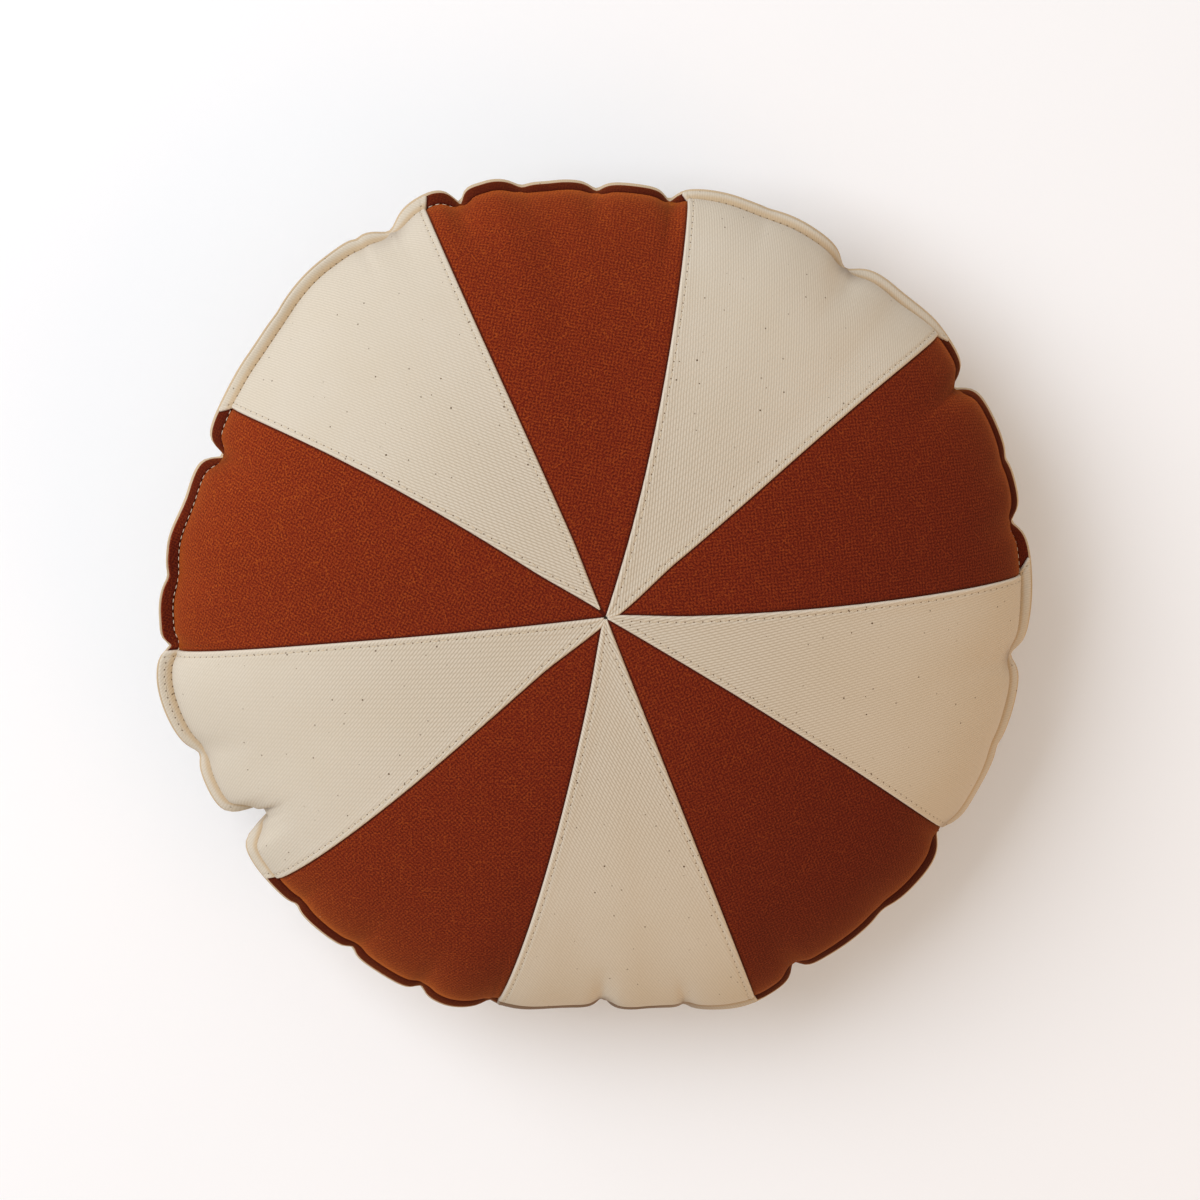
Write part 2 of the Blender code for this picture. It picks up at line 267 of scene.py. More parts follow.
class Outline:
    """The rim as worked out once from the tables, in metres, to be read at any angle."""

    def __init__(self):
        self.angle = np.arange(RIM_STEPS) * WHOLE_TURN / RIM_STEPS
        smooth, flange, slope = (eased(LOBES, column, self.angle) for column in (1, 2, 3))
        floor = 1.0 / (1.0 + NOTCH_REACH ** 2)
        notch = np.zeros(RIM_STEPS)
        pinch = np.zeros(RIM_STEPS)
        pocket = np.zeros(RIM_STEPS)
        for place, deep, half_width, crease, _ in PUCKERS:
            away = turn_between(place, self.angle) / half_width
            notch += deep * np.maximum(0.0, 1.0 / (1.0 + away ** 2) - floor)
            pinch += deep * np.maximum(0.0, 1.0 / (1.0 + (PINCH_NARROW * away) ** 2) - floor)
            shut = min(1.0, max(0.0, (crease - POCKET_CREASE) / POCKET_SHUT))
            pocket += shut * np.maximum(0.0, 1.0 / (1.0 + (POCKET_NARROW * away) ** 2) - floor)
        shows = np.maximum(LEAST_FLANGE, flange - PINCH_DEEP * pinch)
        self.notch = notch * MM
        # How much painted shade each pucker's pocket gets, round the rim
        self.pocket = pocket
        self.reach = (smooth - notch) * MM
        self.slope = slope * MM
        self.smooth_crown = (smooth - flange) * MM
        self.crown = drawn_in(smooth - notch, shows) * MM
        sink = NOTCH_SINK * np.minimum(notch, DEEPEST_SINK)
        self.lift = (slope + waving(RUFFLES, self.angle) - sink) * MM
        self.level = RIM_HEIGHT + waving(RIM_WAVES, self.angle) * MM
        self.height = self.level + NOTCH_LIFT * self.notch

    def at(self, name, angle):
        """One of the rim's values at an array of angles."""
        return np.interp(angle, self.angle, getattr(self, name), period=WHOLE_TURN)


RIM = Outline()


def polar(radius, angle, height):
    """Points from arrays of radius, angle in degrees and height."""
    turn = np.radians(angle)
    return np.stack([radius * np.cos(turn), radius * np.sin(turn), height + 0.0 * radius], axis=-1)


def crease_depth(angle, share):
    """The valley in from each pucker, less the swell of the cloth between them, in metres."""
    reach = RIM.at("crown", angle) / MM
    inset = (1.0 - share) * reach
    arc = math.radians(1.0) * reach * share + 1e-6
    depth = np.zeros(np.broadcast(angle, share).shape)
    for number, (place, _, half_width, crease, length) in enumerate(PUCKERS):
        # The cloth folds over to one side and the other by turns
        lean = CREASE_LEAN if number % 2 == 0 else -CREASE_LEAN
        width = CREASE_WIDTH * half_width * arc + CREASE_SPREAD * inset
        away = turn_between(place, angle) * arc
        away = away / (width * np.where(away > 0.0, 1.0 + lean, 1.0 - lean))
        fade = np.maximum(0.0, 1.0 - inset / (CREASE_RUN * length)) ** CREASE_FADE
        depth += crease * fade / (1.0 + away ** 2)
    swell = SWELL * np.sin(np.pi * share ** SWELL_SHOULDER)
    return (depth - swell) * share ** 3 * MM


def near_rim(share):
    """How much a share of the way out feels the rim's notches."""
    return np.clip((share - NOTCH_FROM) / (1.0 - NOTCH_FROM), 0.0, 1.0) ** NOTCH_FADE


def crown_radius(angle, share):
    """The crown's radius, with the rim's notches fading out a short way in from it."""
    smooth = RIM.at("smooth_crown", angle)
    sharp = RIM.at("crown", angle)
    return (smooth + (sharp - smooth) * near_rim(share)) * share


def stitch_radius(angle):
    """The radius of the stitches, which the crown's edge overhangs, most of all in a pucker's pocket."""
    return RIM.at("crown", angle) - TUCK_IN - POCKET_IN * RIM.at("notch", angle)


class Filling:
    """What the stuffing adds to the radius and height of the cloth, on a coarse grid of angle and share."""

    def __init__(self):
        self.front = None
        self.back = None

    def at(self, side, angle, share):
        """The added radius and height at arrays of angle and share."""
        grid = getattr(self, side)
        if grid is None:
            return 0.0, 0.0
        rows, columns = grid.shape[1:]
        row = np.clip(share, 0.0, 1.0) * (rows - 1)
        column = (angle % WHOLE_TURN) / WHOLE_TURN * columns
        low = np.minimum(row.astype(int), rows - 2)
        left = column.astype(int) % columns
        down = row - low
        along = column - np.floor(column)
        right = (left + 1) % columns
        near = grid[:, low, left] * (1.0 - along) + grid[:, low, right] * along
        far = grid[:, low + 1, left] * (1.0 - along) + grid[:, low + 1, right] * along
        return near * (1.0 - down) + far * down


FILLING = Filling()


def crown_point(angle, share):
    """The front of the cushion: share 0 is its middle and share 1 its widest line, over the stitches."""
    crown = np.maximum(0.0, 1.0 - share ** ROUNDNESS) ** SHOULDER
    uneven = RIM.at("level", angle) - RIM_HEIGHT - crease_depth(angle, share)
    lifted = (RIM.at("height", angle) - RIM.at("level", angle)) * near_rim(share)
    height = RIM_HEIGHT + TUCK_RISE + (CROWN_RISE - TUCK_RISE) * crown + uneven * share ** 2 + lifted
    wider, higher = FILLING.at("front", angle, share)
    return polar(crown_radius(angle, share) + wider, angle, height + higher)


def curled_in(edge, angle, share, pinch):
    """Cloth that curls in from its widest line to the stitches, pinch metres off the flange's middle."""
    bend = share * math.pi / 2.0
    outer = np.hypot(edge[..., 0], edge[..., 1])
    radius = outer - (outer - stitch_radius(angle)) * (1.0 - np.cos(bend))
    height = edge[..., 2] + (RIM.at("height", angle) + pinch - edge[..., 2]) * np.sin(bend)
    return polar(radius, angle, height)


def tuck_point(angle, share):
    """The crown's edge curls in and down to the stitches, from share 0 to share 1."""
    return curled_in(crown_point(angle, np.ones_like(angle)), angle, share, FRONT_PINCH)


def flange_width(angle):
    """How far the flange stands out past the stitches."""
    return RIM.at("reach", angle) - stitch_radius(angle)


def flange_point(angle, share, side):
    """A point of the flange, from the stitches to its outer edge, side metres above its middle."""
    rise = RIM.at("lift", angle) * np.maximum(share, 0.0) ** FLANGE_CURVE
    radius = stitch_radius(angle) + flange_width(angle) * share
    return polar(radius, angle, RIM.at("height", angle) + rise + side)


# Each layer of the flange is cloth turned in on itself: how far its middle lies from the flange's, the
# radius of its turned edge, how far that stops short of the reach and how close the stitches pinch it
FRONT_SIDE = 0.80 * MM
FRONT_TURN = 0.45 * MM
FRONT_SHORT = 1.3 * MM
FRONT_PINCH = 0.45 * MM
BACK_SIDE = -0.80 * MM
BACK_TURN = 0.70 * MM
PINCH_RUN = 0.35
# How far the front's cloth is turned under, which always stops at a share of the flange
TURNED_UNDER = 4.0 * MM
INNERMOST = 0.15


def pinched(share, pinch, side):
    """How far a layer's face is from the flange's middle: pinch metres at the stitches, then side metres."""
    loft = np.sin(np.minimum(1.0, share / PINCH_RUN) * math.pi / 2.0)
    return pinch + (side - pinch) * loft


def front_last(angle):
    """The share of the flange at which the front's cloth turns over."""
    return 1.0 - (FRONT_SHORT + FRONT_TURN) / flange_width(angle)


def front_flange_point(angle, share):
    """The upper side of the front's flange, pinched down at the stitches."""
    side = pinched(share, FRONT_PINCH, FRONT_SIDE + FRONT_TURN)
    return flange_point(angle, share * front_last(angle), side)


def front_edge_point(angle, share):
    """The front's outer edge, turned over from share 0 on top to share 1 beneath."""
    bend = share * math.pi
    out = front_last(angle) + FRONT_TURN * np.sin(bend) / flange_width(angle)
    return flange_point(angle, out, FRONT_SIDE + FRONT_TURN * np.cos(bend))


def front_under_point(angle, share):
    """The turned-in cloth under the front's flange, back towards the stitches."""
    last = front_last(angle)
    inner = np.maximum(INNERMOST, last - TURNED_UNDER / flange_width(angle))
    return flange_point(angle, last + (inner - last) * share, FRONT_SIDE - FRONT_TURN + 0.0 * share)


def joined(parts, angle, run):
    """A point of a surface made of several parts, one for each whole step of run."""
    point = parts[0](angle, np.clip(run, 0.0, 1.0))
    for start, part in enumerate(parts[1:], 1):
        later = part(angle, np.clip(run - start, 0.0, 1.0))
        point = np.where((run > start)[..., None], later, point)
    return point


def front_point(angle, run):
    """The front cloth: over the crown, down its tuck, out over the flange, round its edge and back under."""
    parts = (crown_point, tuck_point, front_flange_point, front_edge_point, front_under_point)
    return joined(parts, angle, run)


# How far the filled form lies under the front's cloth
HIDDEN = 2.2 * MM


def lining_point(angle, share):
    """The filled form just under the front cloth."""
    point = crown_point(angle, share)
    point[..., 2] -= HIDDEN * (1.0 - 0.5 * share)
    point[..., :2] *= (1.0 - HIDDEN * share / crown_radius(angle, np.ones_like(share)))[..., None]
    return point


def lining_tuck_point(angle, share):
    """The lining's edge, down to the stitches between the flange's two layers."""
    top = lining_point(angle, np.ones_like(share))
    stitch = flange_point(angle, np.zeros_like(share), BACK_SIDE + BACK_TURN)
    return top + (stitch - top) * share[..., None]


def back_layer_point(angle, share):
    """The upper side of the flange's back layer."""
    last = 1.0 - BACK_TURN / flange_width(angle)
    return flange_point(angle, share * last, BACK_SIDE + BACK_TURN + 0.0 * share)


def back_edge_point(angle, share):
    """The back layer's outer edge, from above to below."""
    bend = share * math.pi
    outer = 1.0 - BACK_TURN * (1.0 - np.sin(bend)) / flange_width(angle)
    return flange_point(angle, outer, BACK_SIDE + BACK_TURN * np.cos(bend))


def back_flange_point(angle, share):
    """The underside of the flange, back in to the stitches."""
    inward = 1.0 - share
    last = 1.0 - BACK_TURN / flange_width(angle)
    return flange_point(angle, inward * last, pinched(inward, -FRONT_PINCH, BACK_SIDE - BACK_TURN))


def back_tuck_point(angle, share):
    """Under the flange, from the stitches out to the back's widest line."""
    return curled_in(back_point(angle, np.zeros_like(share)), angle, 1.0 - share, -FRONT_PINCH)


def back_point(angle, inward):
    """The back of the cushion, from its widest line (inward 0) to the edge of its flat foot."""
    share = 1.0 - inward * (1.0 - FOOT_SHARE)
    full = (1.0 - FOOT_SHARE ** ROUNDNESS) ** SHOULDER
    drop = np.minimum(1.0, np.maximum(0.0, 1.0 - share ** ROUNDNESS) ** SHOULDER / full)
    level = RIM.at("height", angle) - BACK_TUCK
    crease = crease_depth(angle, share) * np.minimum(1.0, 2.0 - 2.0 * drop)
    wider, higher = FILLING.at("back", angle, inward)
    return polar(crown_radius(angle, share) + wider, angle, level * (1.0 - drop) + crease + higher)


def foot_point(angle, inward):
    """The flat foot that the filling's weight presses against the floor."""
    share = FOOT_SHARE * (1.0 - inward)
    return polar(crown_radius(angle, share), angle, 0.0 * share)


def filled_point(angle, run):
    """The whole filled form with the back cloth: under the front, round the flange's back layer and below."""
    parts = (
        lining_point,
        lining_tuck_point,
        back_layer_point,
        back_edge_point,
        back_flange_point,
        back_tuck_point,
        back_point,
        foot_point,
    )
    return joined(parts, angle, run)


def facing(surface, angle, run):
    """The way out of a surface at arrays of angle and run."""
    turn = 0.05
    step = 0.004
    around = surface(angle + turn, run) - surface(angle - turn, run)
    outward = surface(angle, run + step) - surface(angle, run - step)
    out = np.cross(outward, around)
    return out / np.maximum(np.linalg.norm(out, axis=-1, keepdims=True), 1e-12)


# The coarse cloth of the filling, how many rows its foot has, and how close two points are one
FILLING_COLUMNS = 240
FILLING_ROWS = 34
FOOT_ROWS = 7
WELD = 0.01 * MM
LAST_FRAME = 20
# How far the cloth may give, and the share of that which is left at the rim and inside the middle
MOST_GIVE = 4.5 * MM
RIM_GIVE = 0.35
MIDDLE = 0.15
CLOTH = {
    "quality": 6,
    "mass": 0.25,
    "tension_stiffness": 20.0,
    "compression_stiffness": 20.0,
    "shear_stiffness": 8.0,
    "bending_stiffness": 0.4,
    "air_damping": 2.0,
    "vertex_group_mass": "held",
    "vertex_group_shrink": "loose",
    "shrink_min": 0.0,
    "shrink_max": -0.05,
    "use_pressure": True,
    "uniform_pressure_force": 4.0,
}


def stuffed():
    """Fills the closed cloth with pressure, and keeps how unevenly it gives round the cushion."""
    angle = np.linspace(0.0, WHOLE_TURN, FILLING_COLUMNS + 1)
    shares = np.linspace(0.0, 1.0, FILLING_ROWS)
    runs = np.concatenate([shares, [1.5, 2.0]])
    run, turn = np.meshgrid(runs, angle, indexing="ij")
    front = front_point(turn, run)
    inward, turn = np.meshgrid(shares, angle, indexing="ij")
    tuck = back_tuck_point(angle, np.full_like(angle, 0.5))[None]
    foot_share, foot_turn = np.meshgrid(np.linspace(0.0, 1.0, FOOT_ROWS + 1)[1:], angle, indexing="ij")
    start = np.concatenate([front, tuck, back_point(turn, inward), foot_point(foot_turn, foot_share)])
    mesh = grid_mesh("stuffing", FILLING_COLUMNS, len(start) - 1)
    lay_on(mesh, start)
    place = np.arange(start.shape[0] * start.shape[1], dtype=np.int32)
    mesh.attributes.new("place", "INT", "POINT").data.foreach_set("value", place)
    weld(mesh)
    made = new_object("stuffing", mesh)
    kept = np.empty(len(mesh.vertices), dtype=np.int32)
    mesh.attributes["place"].data.foreach_get("value", kept)
    row = kept // start.shape[1]
    stitches = len(runs) - 1
    held = made.vertex_groups.new(name="held")
    sewn = np.flatnonzero((row == stitches) | (start.reshape(-1, 3)[kept, 2] < 0.5 * MM))
    held.add([int(k) for k in sewn], 1.0, "REPLACE")
    loose = made.vertex_groups.new(name="loose")
    ease = np.concatenate([shares, [1.0, 1.0], [1.0], 1.0 - shares, np.zeros(FOOT_ROWS)]) ** 3
    for number in range(len(ease)):
        loose.add([int(k) for k in np.flatnonzero(row == number)], float(ease[number]), "REPLACE")
    cloth = made.modifiers.new("filling", "CLOTH")
    for name, value in CLOTH.items():
        setattr(cloth.settings, name, value)
    cloth.settings.effector_weights.gravity = 0.0
    cloth.collision_settings.use_collision = False
    scene = bpy.context.scene
    for number in range(1, LAST_FRAME + 1):
        scene.frame_set(number)
    solved = made.evaluated_get(bpy.context.evaluated_depsgraph_get()).to_mesh()
    after = np.empty(3 * len(mesh.vertices))
    solved.vertices.foreach_get("co", after)
    after = after.reshape(-1, 3)
    scene.frame_set(1)
    moved = np.zeros((start.shape[0] * start.shape[1], 2))
    first = start.reshape(-1, 3)[kept]
    moved[kept, 0] = np.hypot(after[:, 0], after[:, 1]) - np.hypot(first[:, 0], first[:, 1])
    moved[kept, 1] = after[:, 2] - first[:, 2]
    moved = moved.reshape(start.shape[0], start.shape[1], 2)[:, :-1]
    bpy.data.objects.remove(made)
    bpy.data.meshes.remove(mesh)
    front = moved[:FILLING_ROWS]
    back = moved[len(runs) + 1:len(runs) + 1 + FILLING_ROWS]
    for side, grid, rim in (("front", front, shares), ("back", back, 1.0 - shares)):
        uneven = grid - grid.mean(axis=1, keepdims=True)
        for _ in range(3):
            uneven = (np.roll(uneven, 1, axis=1) + 2.0 * uneven + np.roll(uneven, -1, axis=1)) / 4.0
            uneven[1:-1] = (uneven[:-2] + 2.0 * uneven[1:-1] + uneven[2:]) / 4.0
        far = np.linalg.norm(uneven, axis=2, keepdims=True)
        uneven = uneven * MOST_GIVE / (MOST_GIVE + far)
        hold = (1.0 - (1.0 - RIM_GIVE) * rim ** 6)[:, None]
        centre = np.clip(rim / MIDDLE, 0.0, 1.0)[:, None]
        setattr(FILLING, side, np.stack([uneven[..., 0] * hold * centre, uneven[..., 1] * centre]))


def apex_turn(number, run):
    """How far a seam turns off its own line near the centre, to meet the next one at their wedge's tip."""
    for first, far, way in APEXES:
        if number in (first, first + 1):
            away = np.mean(RIM.smooth_crown) / MM * run
            fade = np.maximum(0.0, 1.0 - (away / APEX_FADE) ** 2) ** 2
            aside = far * math.sin(math.radians(way - SEAMS[number][0]))
            return np.degrees(np.arcsin(aside / np.maximum(away, far))) * fade
    return 0.0


def seam_angle(index, run):
    """A seam's angle, eased through the four angles of its row."""
    inner, middle, stitch, edge = SEAMS[index % len(SEAMS)]
    turns = WHOLE_TURN * (index // len(SEAMS))
    share = np.clip(run, 0.0, 1.0)
    bow = 4.0 * (middle - (inner + stitch) / 2.0) * share * (1.0 - share)
    out = np.clip(run - 2.0, 0.0, 1.0)
    apex = apex_turn(index % len(SEAMS), run)
    return inner + (stitch - inner) * share + bow + (edge - stitch) * out + apex + turns


def run_rows(counts):
    """Row places: each part of a surface gets its own count of rows."""
    places = [np.array([0.0])]
    for start, count in enumerate(counts):
        places.append(start + np.arange(1, count + 1) / count)
    return np.concatenate(places)


# Rows for each part of a surface, and how much the columns of a panel crowd at its edges, and its rows
# at its tip
FRONT_ROWS = (92, 7, 7, 6, 2)
FRONT_COLUMNS = 132
EDGE_CROWDING = 0.70
TIP_CROWDING = 1.15
FILLED_ROWS = (24, 2, 3, 6, 5, 6, 52, 12)
FILLED_COLUMNS = 640

# The turned edge of an ecru panel stands over the rust ones, which run on beneath it
ROLL = 0.9 * MM
ROLL_SINK = 0.5 * MM
ROLL_PROUD = 0.75 * MM
SEAM_ALLOWANCE_PROUD = 0.35 * MM
ALLOWANCE_FADE = 4.0 * MM
STITCH_GROOVE = 0.22 * MM
STITCH_GROOVE_WIDTH = 0.7 * MM
RUST_UNDER = 1.2 * MM
RUST_DIP = 0.35 * MM
RUST_DIP_WIDTH = 1.5 * MM
RUST_SLOPE = 0.45
# A panel narrower than this has a smaller roll and dip, in step with its width
NARROW = 7.0 * MM


def cream_loft(gap, width):
    """How far an ecru panel stands off the form, at a distance in from its seam."""
    scale = np.minimum(1.0, width / NARROW)
    rise = 1.0 - np.minimum(1.0, gap / (ROLL * scale))
    roll = -ROLL_SINK + (ROLL_SINK + ROLL_PROUD) * np.sqrt(1.0 - rise ** 2)
    past = np.maximum(0.0, gap / scale - ROLL) / ALLOWANCE_FADE
    settle = (ROLL_PROUD - SEAM_ALLOWANCE_PROUD) * (1.0 - np.exp(-past ** 2))
    aside = gap / scale - bpy.context.scene.cushion_sizes.stitch_inset
    groove = STITCH_GROOVE * np.exp(-(aside / STITCH_GROOVE_WIDTH) ** 2)
    return (roll - settle - groove) * (0.6 + 0.4 * scale)


def rust_loft(gap, width):
    """How far a rust panel dips beside its seam, and goes on down under the ecru one."""
    scale = np.minimum(1.0, width / NARROW)
    dip = RUST_DIP * np.exp(-(gap / RUST_DIP_WIDTH) ** 2)
    under = RUST_SLOPE * np.maximum(0.0, -gap)
    return -(dip + under) * scale


def new_object(name, mesh):
    """An object at the origin that holds a mesh."""
    made = bpy.data.objects.new(name, mesh)
    bpy.context.scene.collection.objects.link(made)
    return made


def grid_mesh(name, columns, rows):
    """A flat grid one metre square, whose points will be moved to a surface."""
    shape = bmesh.new()
    bmesh.ops.create_grid(shape, x_segments=columns, y_segments=rows, size=0.5)
    mesh = bpy.data.meshes.new(name)
    shape.to_mesh(mesh)
    shape.free()
    return mesh


def lay_on(mesh, points):
    """Moves the points of a grid's mesh, row by row, to new places."""
    mesh.vertices.foreach_set("co", points.reshape(-1))
    mesh.update()


def keep_vectors(mesh, name, values):
    """Keeps three numbers a point on a mesh for its material to read."""
    mesh.attributes.new(name, "FLOAT_VECTOR", "POINT").data.foreach_set("vector", values.reshape(-1))


def keep_map(mesh, name, flat):
    """Keeps where each point lies on the flat cloth, in metres, as a UV map."""
    corner = np.empty(len(mesh.loops), dtype=np.int32)
    mesh.loops.foreach_get("vertex_index", corner)
    mesh.uv_layers.new(name=name).data.foreach_set("uv", flat.reshape(-1, 2)[corner].reshape(-1))


def weld(mesh):
    """Makes one of the points of a mesh that lie in one place, and turns its faces outwards."""
    shape = bmesh.new()
    shape.from_mesh(mesh)
    bmesh.ops.remove_doubles(shape, verts=shape.verts, dist=WELD)
    bmesh.ops.recalc_face_normals(shape, faces=shape.faces)
    shape.to_mesh(mesh)
    shape.free()


def smooth_faces(mesh):
    """Shades every face of a mesh smooth."""
    mesh.polygons.foreach_set("use_smooth", np.ones(len(mesh.polygons), dtype=bool))


# The lines of stitches start this share of the way out, clear of the centre
LEAST_RUN = 0.02


def so_far(points):
    """The length up to each point of a line, or of many lines side by side."""
    step = np.linalg.norm(np.diff(points, axis=0), axis=-1)
    return np.concatenate([np.zeros((1, *points.shape[1:-1])), np.cumsum(step, axis=0)])


def along_seam(index, run):
    """A topstitch row's points, at arrays of run, beside a seam on its ecru side."""
    inset = bpy.context.scene.cushion_sizes.stitch_inset
    side = 1.0 if index % 2 else -1.0
    radius = crown_radius(seam_angle(index, run), np.clip(run, LEAST_RUN, 1.0))
    angle = seam_angle(index, run) + side * np.degrees(inset / radius)
    return angle, front_point(angle, run)


LINE_STEPS = 3000
_lines = {}


def seam_line(index):
    """A topstitch row as run, angle, points and length so far, worked out once."""
    index = index % len(SEAMS)
    if index not in _lines:
        run = np.linspace(LEAST_RUN, 3.0, LINE_STEPS)
        angle, points = along_seam(index, run)
        _lines[index] = (run, angle, points, so_far(points))
    return _lines[index]


# How far the flange's edge is lifted where the stitch row is hidden and where it shows, each with its run
ROW_HIDDEN = (-3.8 * MM, 2.05)
ROW_SHOWN = (-2.6 * MM, 2.24)


def rim_run(angle):
    """Where the rim's stitch row runs: out on the flange where that is flat, else under the crown's edge."""
    return np.interp(RIM.at("slope", angle), (ROW_HIDDEN[0], ROW_SHOWN[0]), (ROW_HIDDEN[1], ROW_SHOWN[1]))


def rim_line():
    """The rim's stitch row as angle, points and length so far, once round from the right."""
    if "rim" not in _lines:
        angle = np.linspace(0.0, WHOLE_TURN, 4 * LINE_STEPS)
        points = front_point(angle, rim_run(angle))
        _lines["rim"] = (angle, points, so_far(points))
    return _lines["rim"]


# The row that closed the opening for the filling, in degrees and run, and a place far from any row
CLOSING_FROM = 187.5
CLOSING_TO = 198.5
CLOSING_RUN = 2.72
FAR = 1.0


def closing_line():
    """The closing row as angle, points and length so far."""
    if "closing" not in _lines:
        angle = np.linspace(CLOSING_FROM, CLOSING_TO, LINE_STEPS)
        points = front_point(angle, np.full_like(angle, CLOSING_RUN))
        _lines["closing"] = (angle, points, so_far(points))
    return _lines["closing"]


# The drop at which the flange hangs out of the light and gets its full painted shade
FLANGE_HANGS = 6.5 * MM
# A pocket's painted shade starts this share of the way out, and is soon full
POCKET_FROM = 0.972
POCKET_FULL = 1.4
# Creases deeper than this many millimetres are folds, with a painted dark line of shade so many millimetres
# wide and of such strength
FOLD_CREASE = 6.0
FOLD_WIDTH = 1.0
FOLD_SHADE = 0.75


def fold_line(angle, run):
    """How near the cloth lies to the line of a deep fold that runs in from its pucker."""
    share = np.clip(run, 0.0, 1.0)
    reach = RIM.at("crown", angle) / MM
    line = np.zeros(np.shape(angle))
    for place, _, _, crease, length in PUCKERS:
        if crease > FOLD_CREASE:
            away = turn_between(place, angle) * math.radians(1.0) * reach * share
            fade = np.clip(1.0 - (1.0 - share) * reach / length, 0.0, 1.0)
            line = np.maximum(line, fade / (1.0 + (away / FOLD_WIDTH) ** 2))
    return line


def rim_lie(angle, run):
    """How far the flange hangs down, and how far inside a pucker's pocket or on a deep fold's line the cloth
    lies, from 0 to 1: the masks of the painted shade there.
    """
    hangs = np.clip(-RIM.at("slope", angle) / FLANGE_HANGS, 0.0, 1.0)
    above = np.clip(3.0 - run, 0.0, 1.0)
    inside = np.clip((run - POCKET_FROM) / (1.0 - POCKET_FROM), 0.0, 1.0) * above
    pocket = np.clip(POCKET_FULL * RIM.at("pocket", angle), 0.0, 1.0) * inside
    pocket = np.maximum(pocket, FOLD_SHADE * fold_line(angle, run) * above)
    return np.stack([hangs, pocket, 0.0 * pocket], axis=-1)


def level_at(length, rows, run):
    """The length up each column of a panel, at one run for each column."""
    place = np.interp(run, rows, np.arange(len(rows)))
    low = place.astype(int)
    columns = np.arange(length.shape[1])
    return length[low, columns] + (length[low + 1, columns] - length[low, columns]) * (place - low)


def panel(name, index, material_name, node):
    """One wedge of the front: its cloth is laid over the crown, down to the stitches and round the flange."""
    sizes = bpy.context.scene.cushion_sizes
    cream = index % 2 == 1
    rows = run_rows(FRONT_ROWS)
    tip_angle = seam_angle(index, np.array([0.0]))
    tip = TIPS[index] * MM / crown_radius(tip_angle, np.array([1.0]))[0]
    rows = np.where(rows <= 1.0, tip + (1.0 - tip) * rows ** TIP_CROWDING, rows)
    across = np.linspace(0.0, 1.0, FRONT_COLUMNS + 1)
    across = across - EDGE_CROWDING * np.sin(2.0 * np.pi * across) / (2.0 * np.pi)
    run, share = np.meshgrid(rows, across, indexing="ij")
    first = seam_angle(index, run)
    second = seam_angle(index + 1, run)
    radius = crown_radius((first + second) / 2.0, np.clip(run, 0.0, 1.0))
    width = radius * np.radians(second - first)
    spare = 0.0 if cream else np.minimum(RUST_UNDER, 0.3 * radius)
    gap = -spare + (width + 2.0 * spare) * share
    angle = first + np.degrees(gap / radius)
    base = front_point(angle, run)
    out = facing(front_point, angle, run)
    near = np.minimum(gap, width - gap)
    loft = cream_loft(near, width) if cream else rust_loft(near, width)
    fade = np.clip(4.0 - run, 0.0, 1.0)
    points = base + out * (loft * fade)[..., None]

    length = TIPS[index] * MM + so_far(base)
    middle = (SEAMS[index][1] + SEAMS[(index + 1) % len(SEAMS)][1]) / 2.0
    middle = middle + 180.0 if index == len(SEAMS) - 1 else middle
    grain = sizes.twill_turn if cream else sizes.linen_turn
    turn = np.radians(turn_between(middle, angle)) - grain
    flat = np.stack([length * np.sin(turn), length * np.cos(turn)], axis=-1)

    mesh = grid_mesh(name, FRONT_COLUMNS, len(rows) - 1)
    lay_on(mesh, points)
    keep_map(mesh, "cloth", flat)
    before = np.interp(run, seam_line(index)[0], seam_line(index)[3])
    after = np.interp(run, seam_line(index + 1)[0], seam_line(index + 1)[3])
    sewn = np.where(gap < width / 2.0, before, after)
    keep_vectors(mesh, "seam", np.stack([near, sewn, run], axis=-1))
    rim_angle, _, rim_length = rim_line()
    level = level_at(length, rows, rim_run(angle[np.searchsorted(rows, 2.0)]))
    around = np.interp(angle % WHOLE_TURN, rim_angle, rim_length)
    keep_vectors(mesh, "rim", np.stack([level[None, :] - length, around, 0.0 * near], axis=-1))
    keep_vectors(mesh, "lie", rim_lie(angle, run))
    closing_angle, _, closing_length = closing_line()
    level = level_at(length, rows, np.full(FRONT_COLUMNS + 1, CLOSING_RUN))
    outside = (angle < closing_angle[0]) | (angle > closing_angle[-1])
    aside = np.where(outside, FAR, level[None, :] - length)
    along = np.interp(angle, closing_angle, closing_length)
    keep_vectors(mesh, "closing", np.stack([aside, along, 0.0 * near], axis=-1))
    smooth_faces(mesh)
    made = new_object(name, mesh)
    made.data.materials.append(bpy.data.materials[material_name])
    wall = made.modifiers.new("cloth_thickness", "SOLIDIFY")
    wall.thickness = sizes.cloth_thickness
    wall.offset = 0.0
    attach(made, "root")
    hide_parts(node)
    return made


def add(tree, kind, inputs=None, **values):
    """Adds a node to a tree, sets its values, and fills or links its inputs."""
    made = tree.nodes.new(kind)
    for name, value in values.items():
        setattr(made, name, value)
    for socket, value in (inputs or {}).items():
        if isinstance(value, bpy.types.NodeSocket):
            tree.links.new(value, made.inputs[socket])
        else:
            made.inputs[socket].default_value = value
    return made


def linear(colour):
    """An sRGB hex colour as linear red, green and blue."""
    levels = [int(colour[k:k + 2], 16) / 255.0 for k in (1, 3, 5)]
    return [v / 12.92 if v <= 0.04045 else ((v + 0.055) / 1.055) ** 2.4 for v in levels]


def opaque(colour):
    """A colour with full alpha, as a socket takes it."""
    return (*colour, 1.0)


def kept(tree, name):
    """The X, Y and Z that a mesh keeps for each point under a name."""
    place = add(tree, "ShaderNodeAttribute", attribute_name=name).outputs["Vector"]
    return add(tree, "ShaderNodeSeparateXYZ", {0: place}).outputs


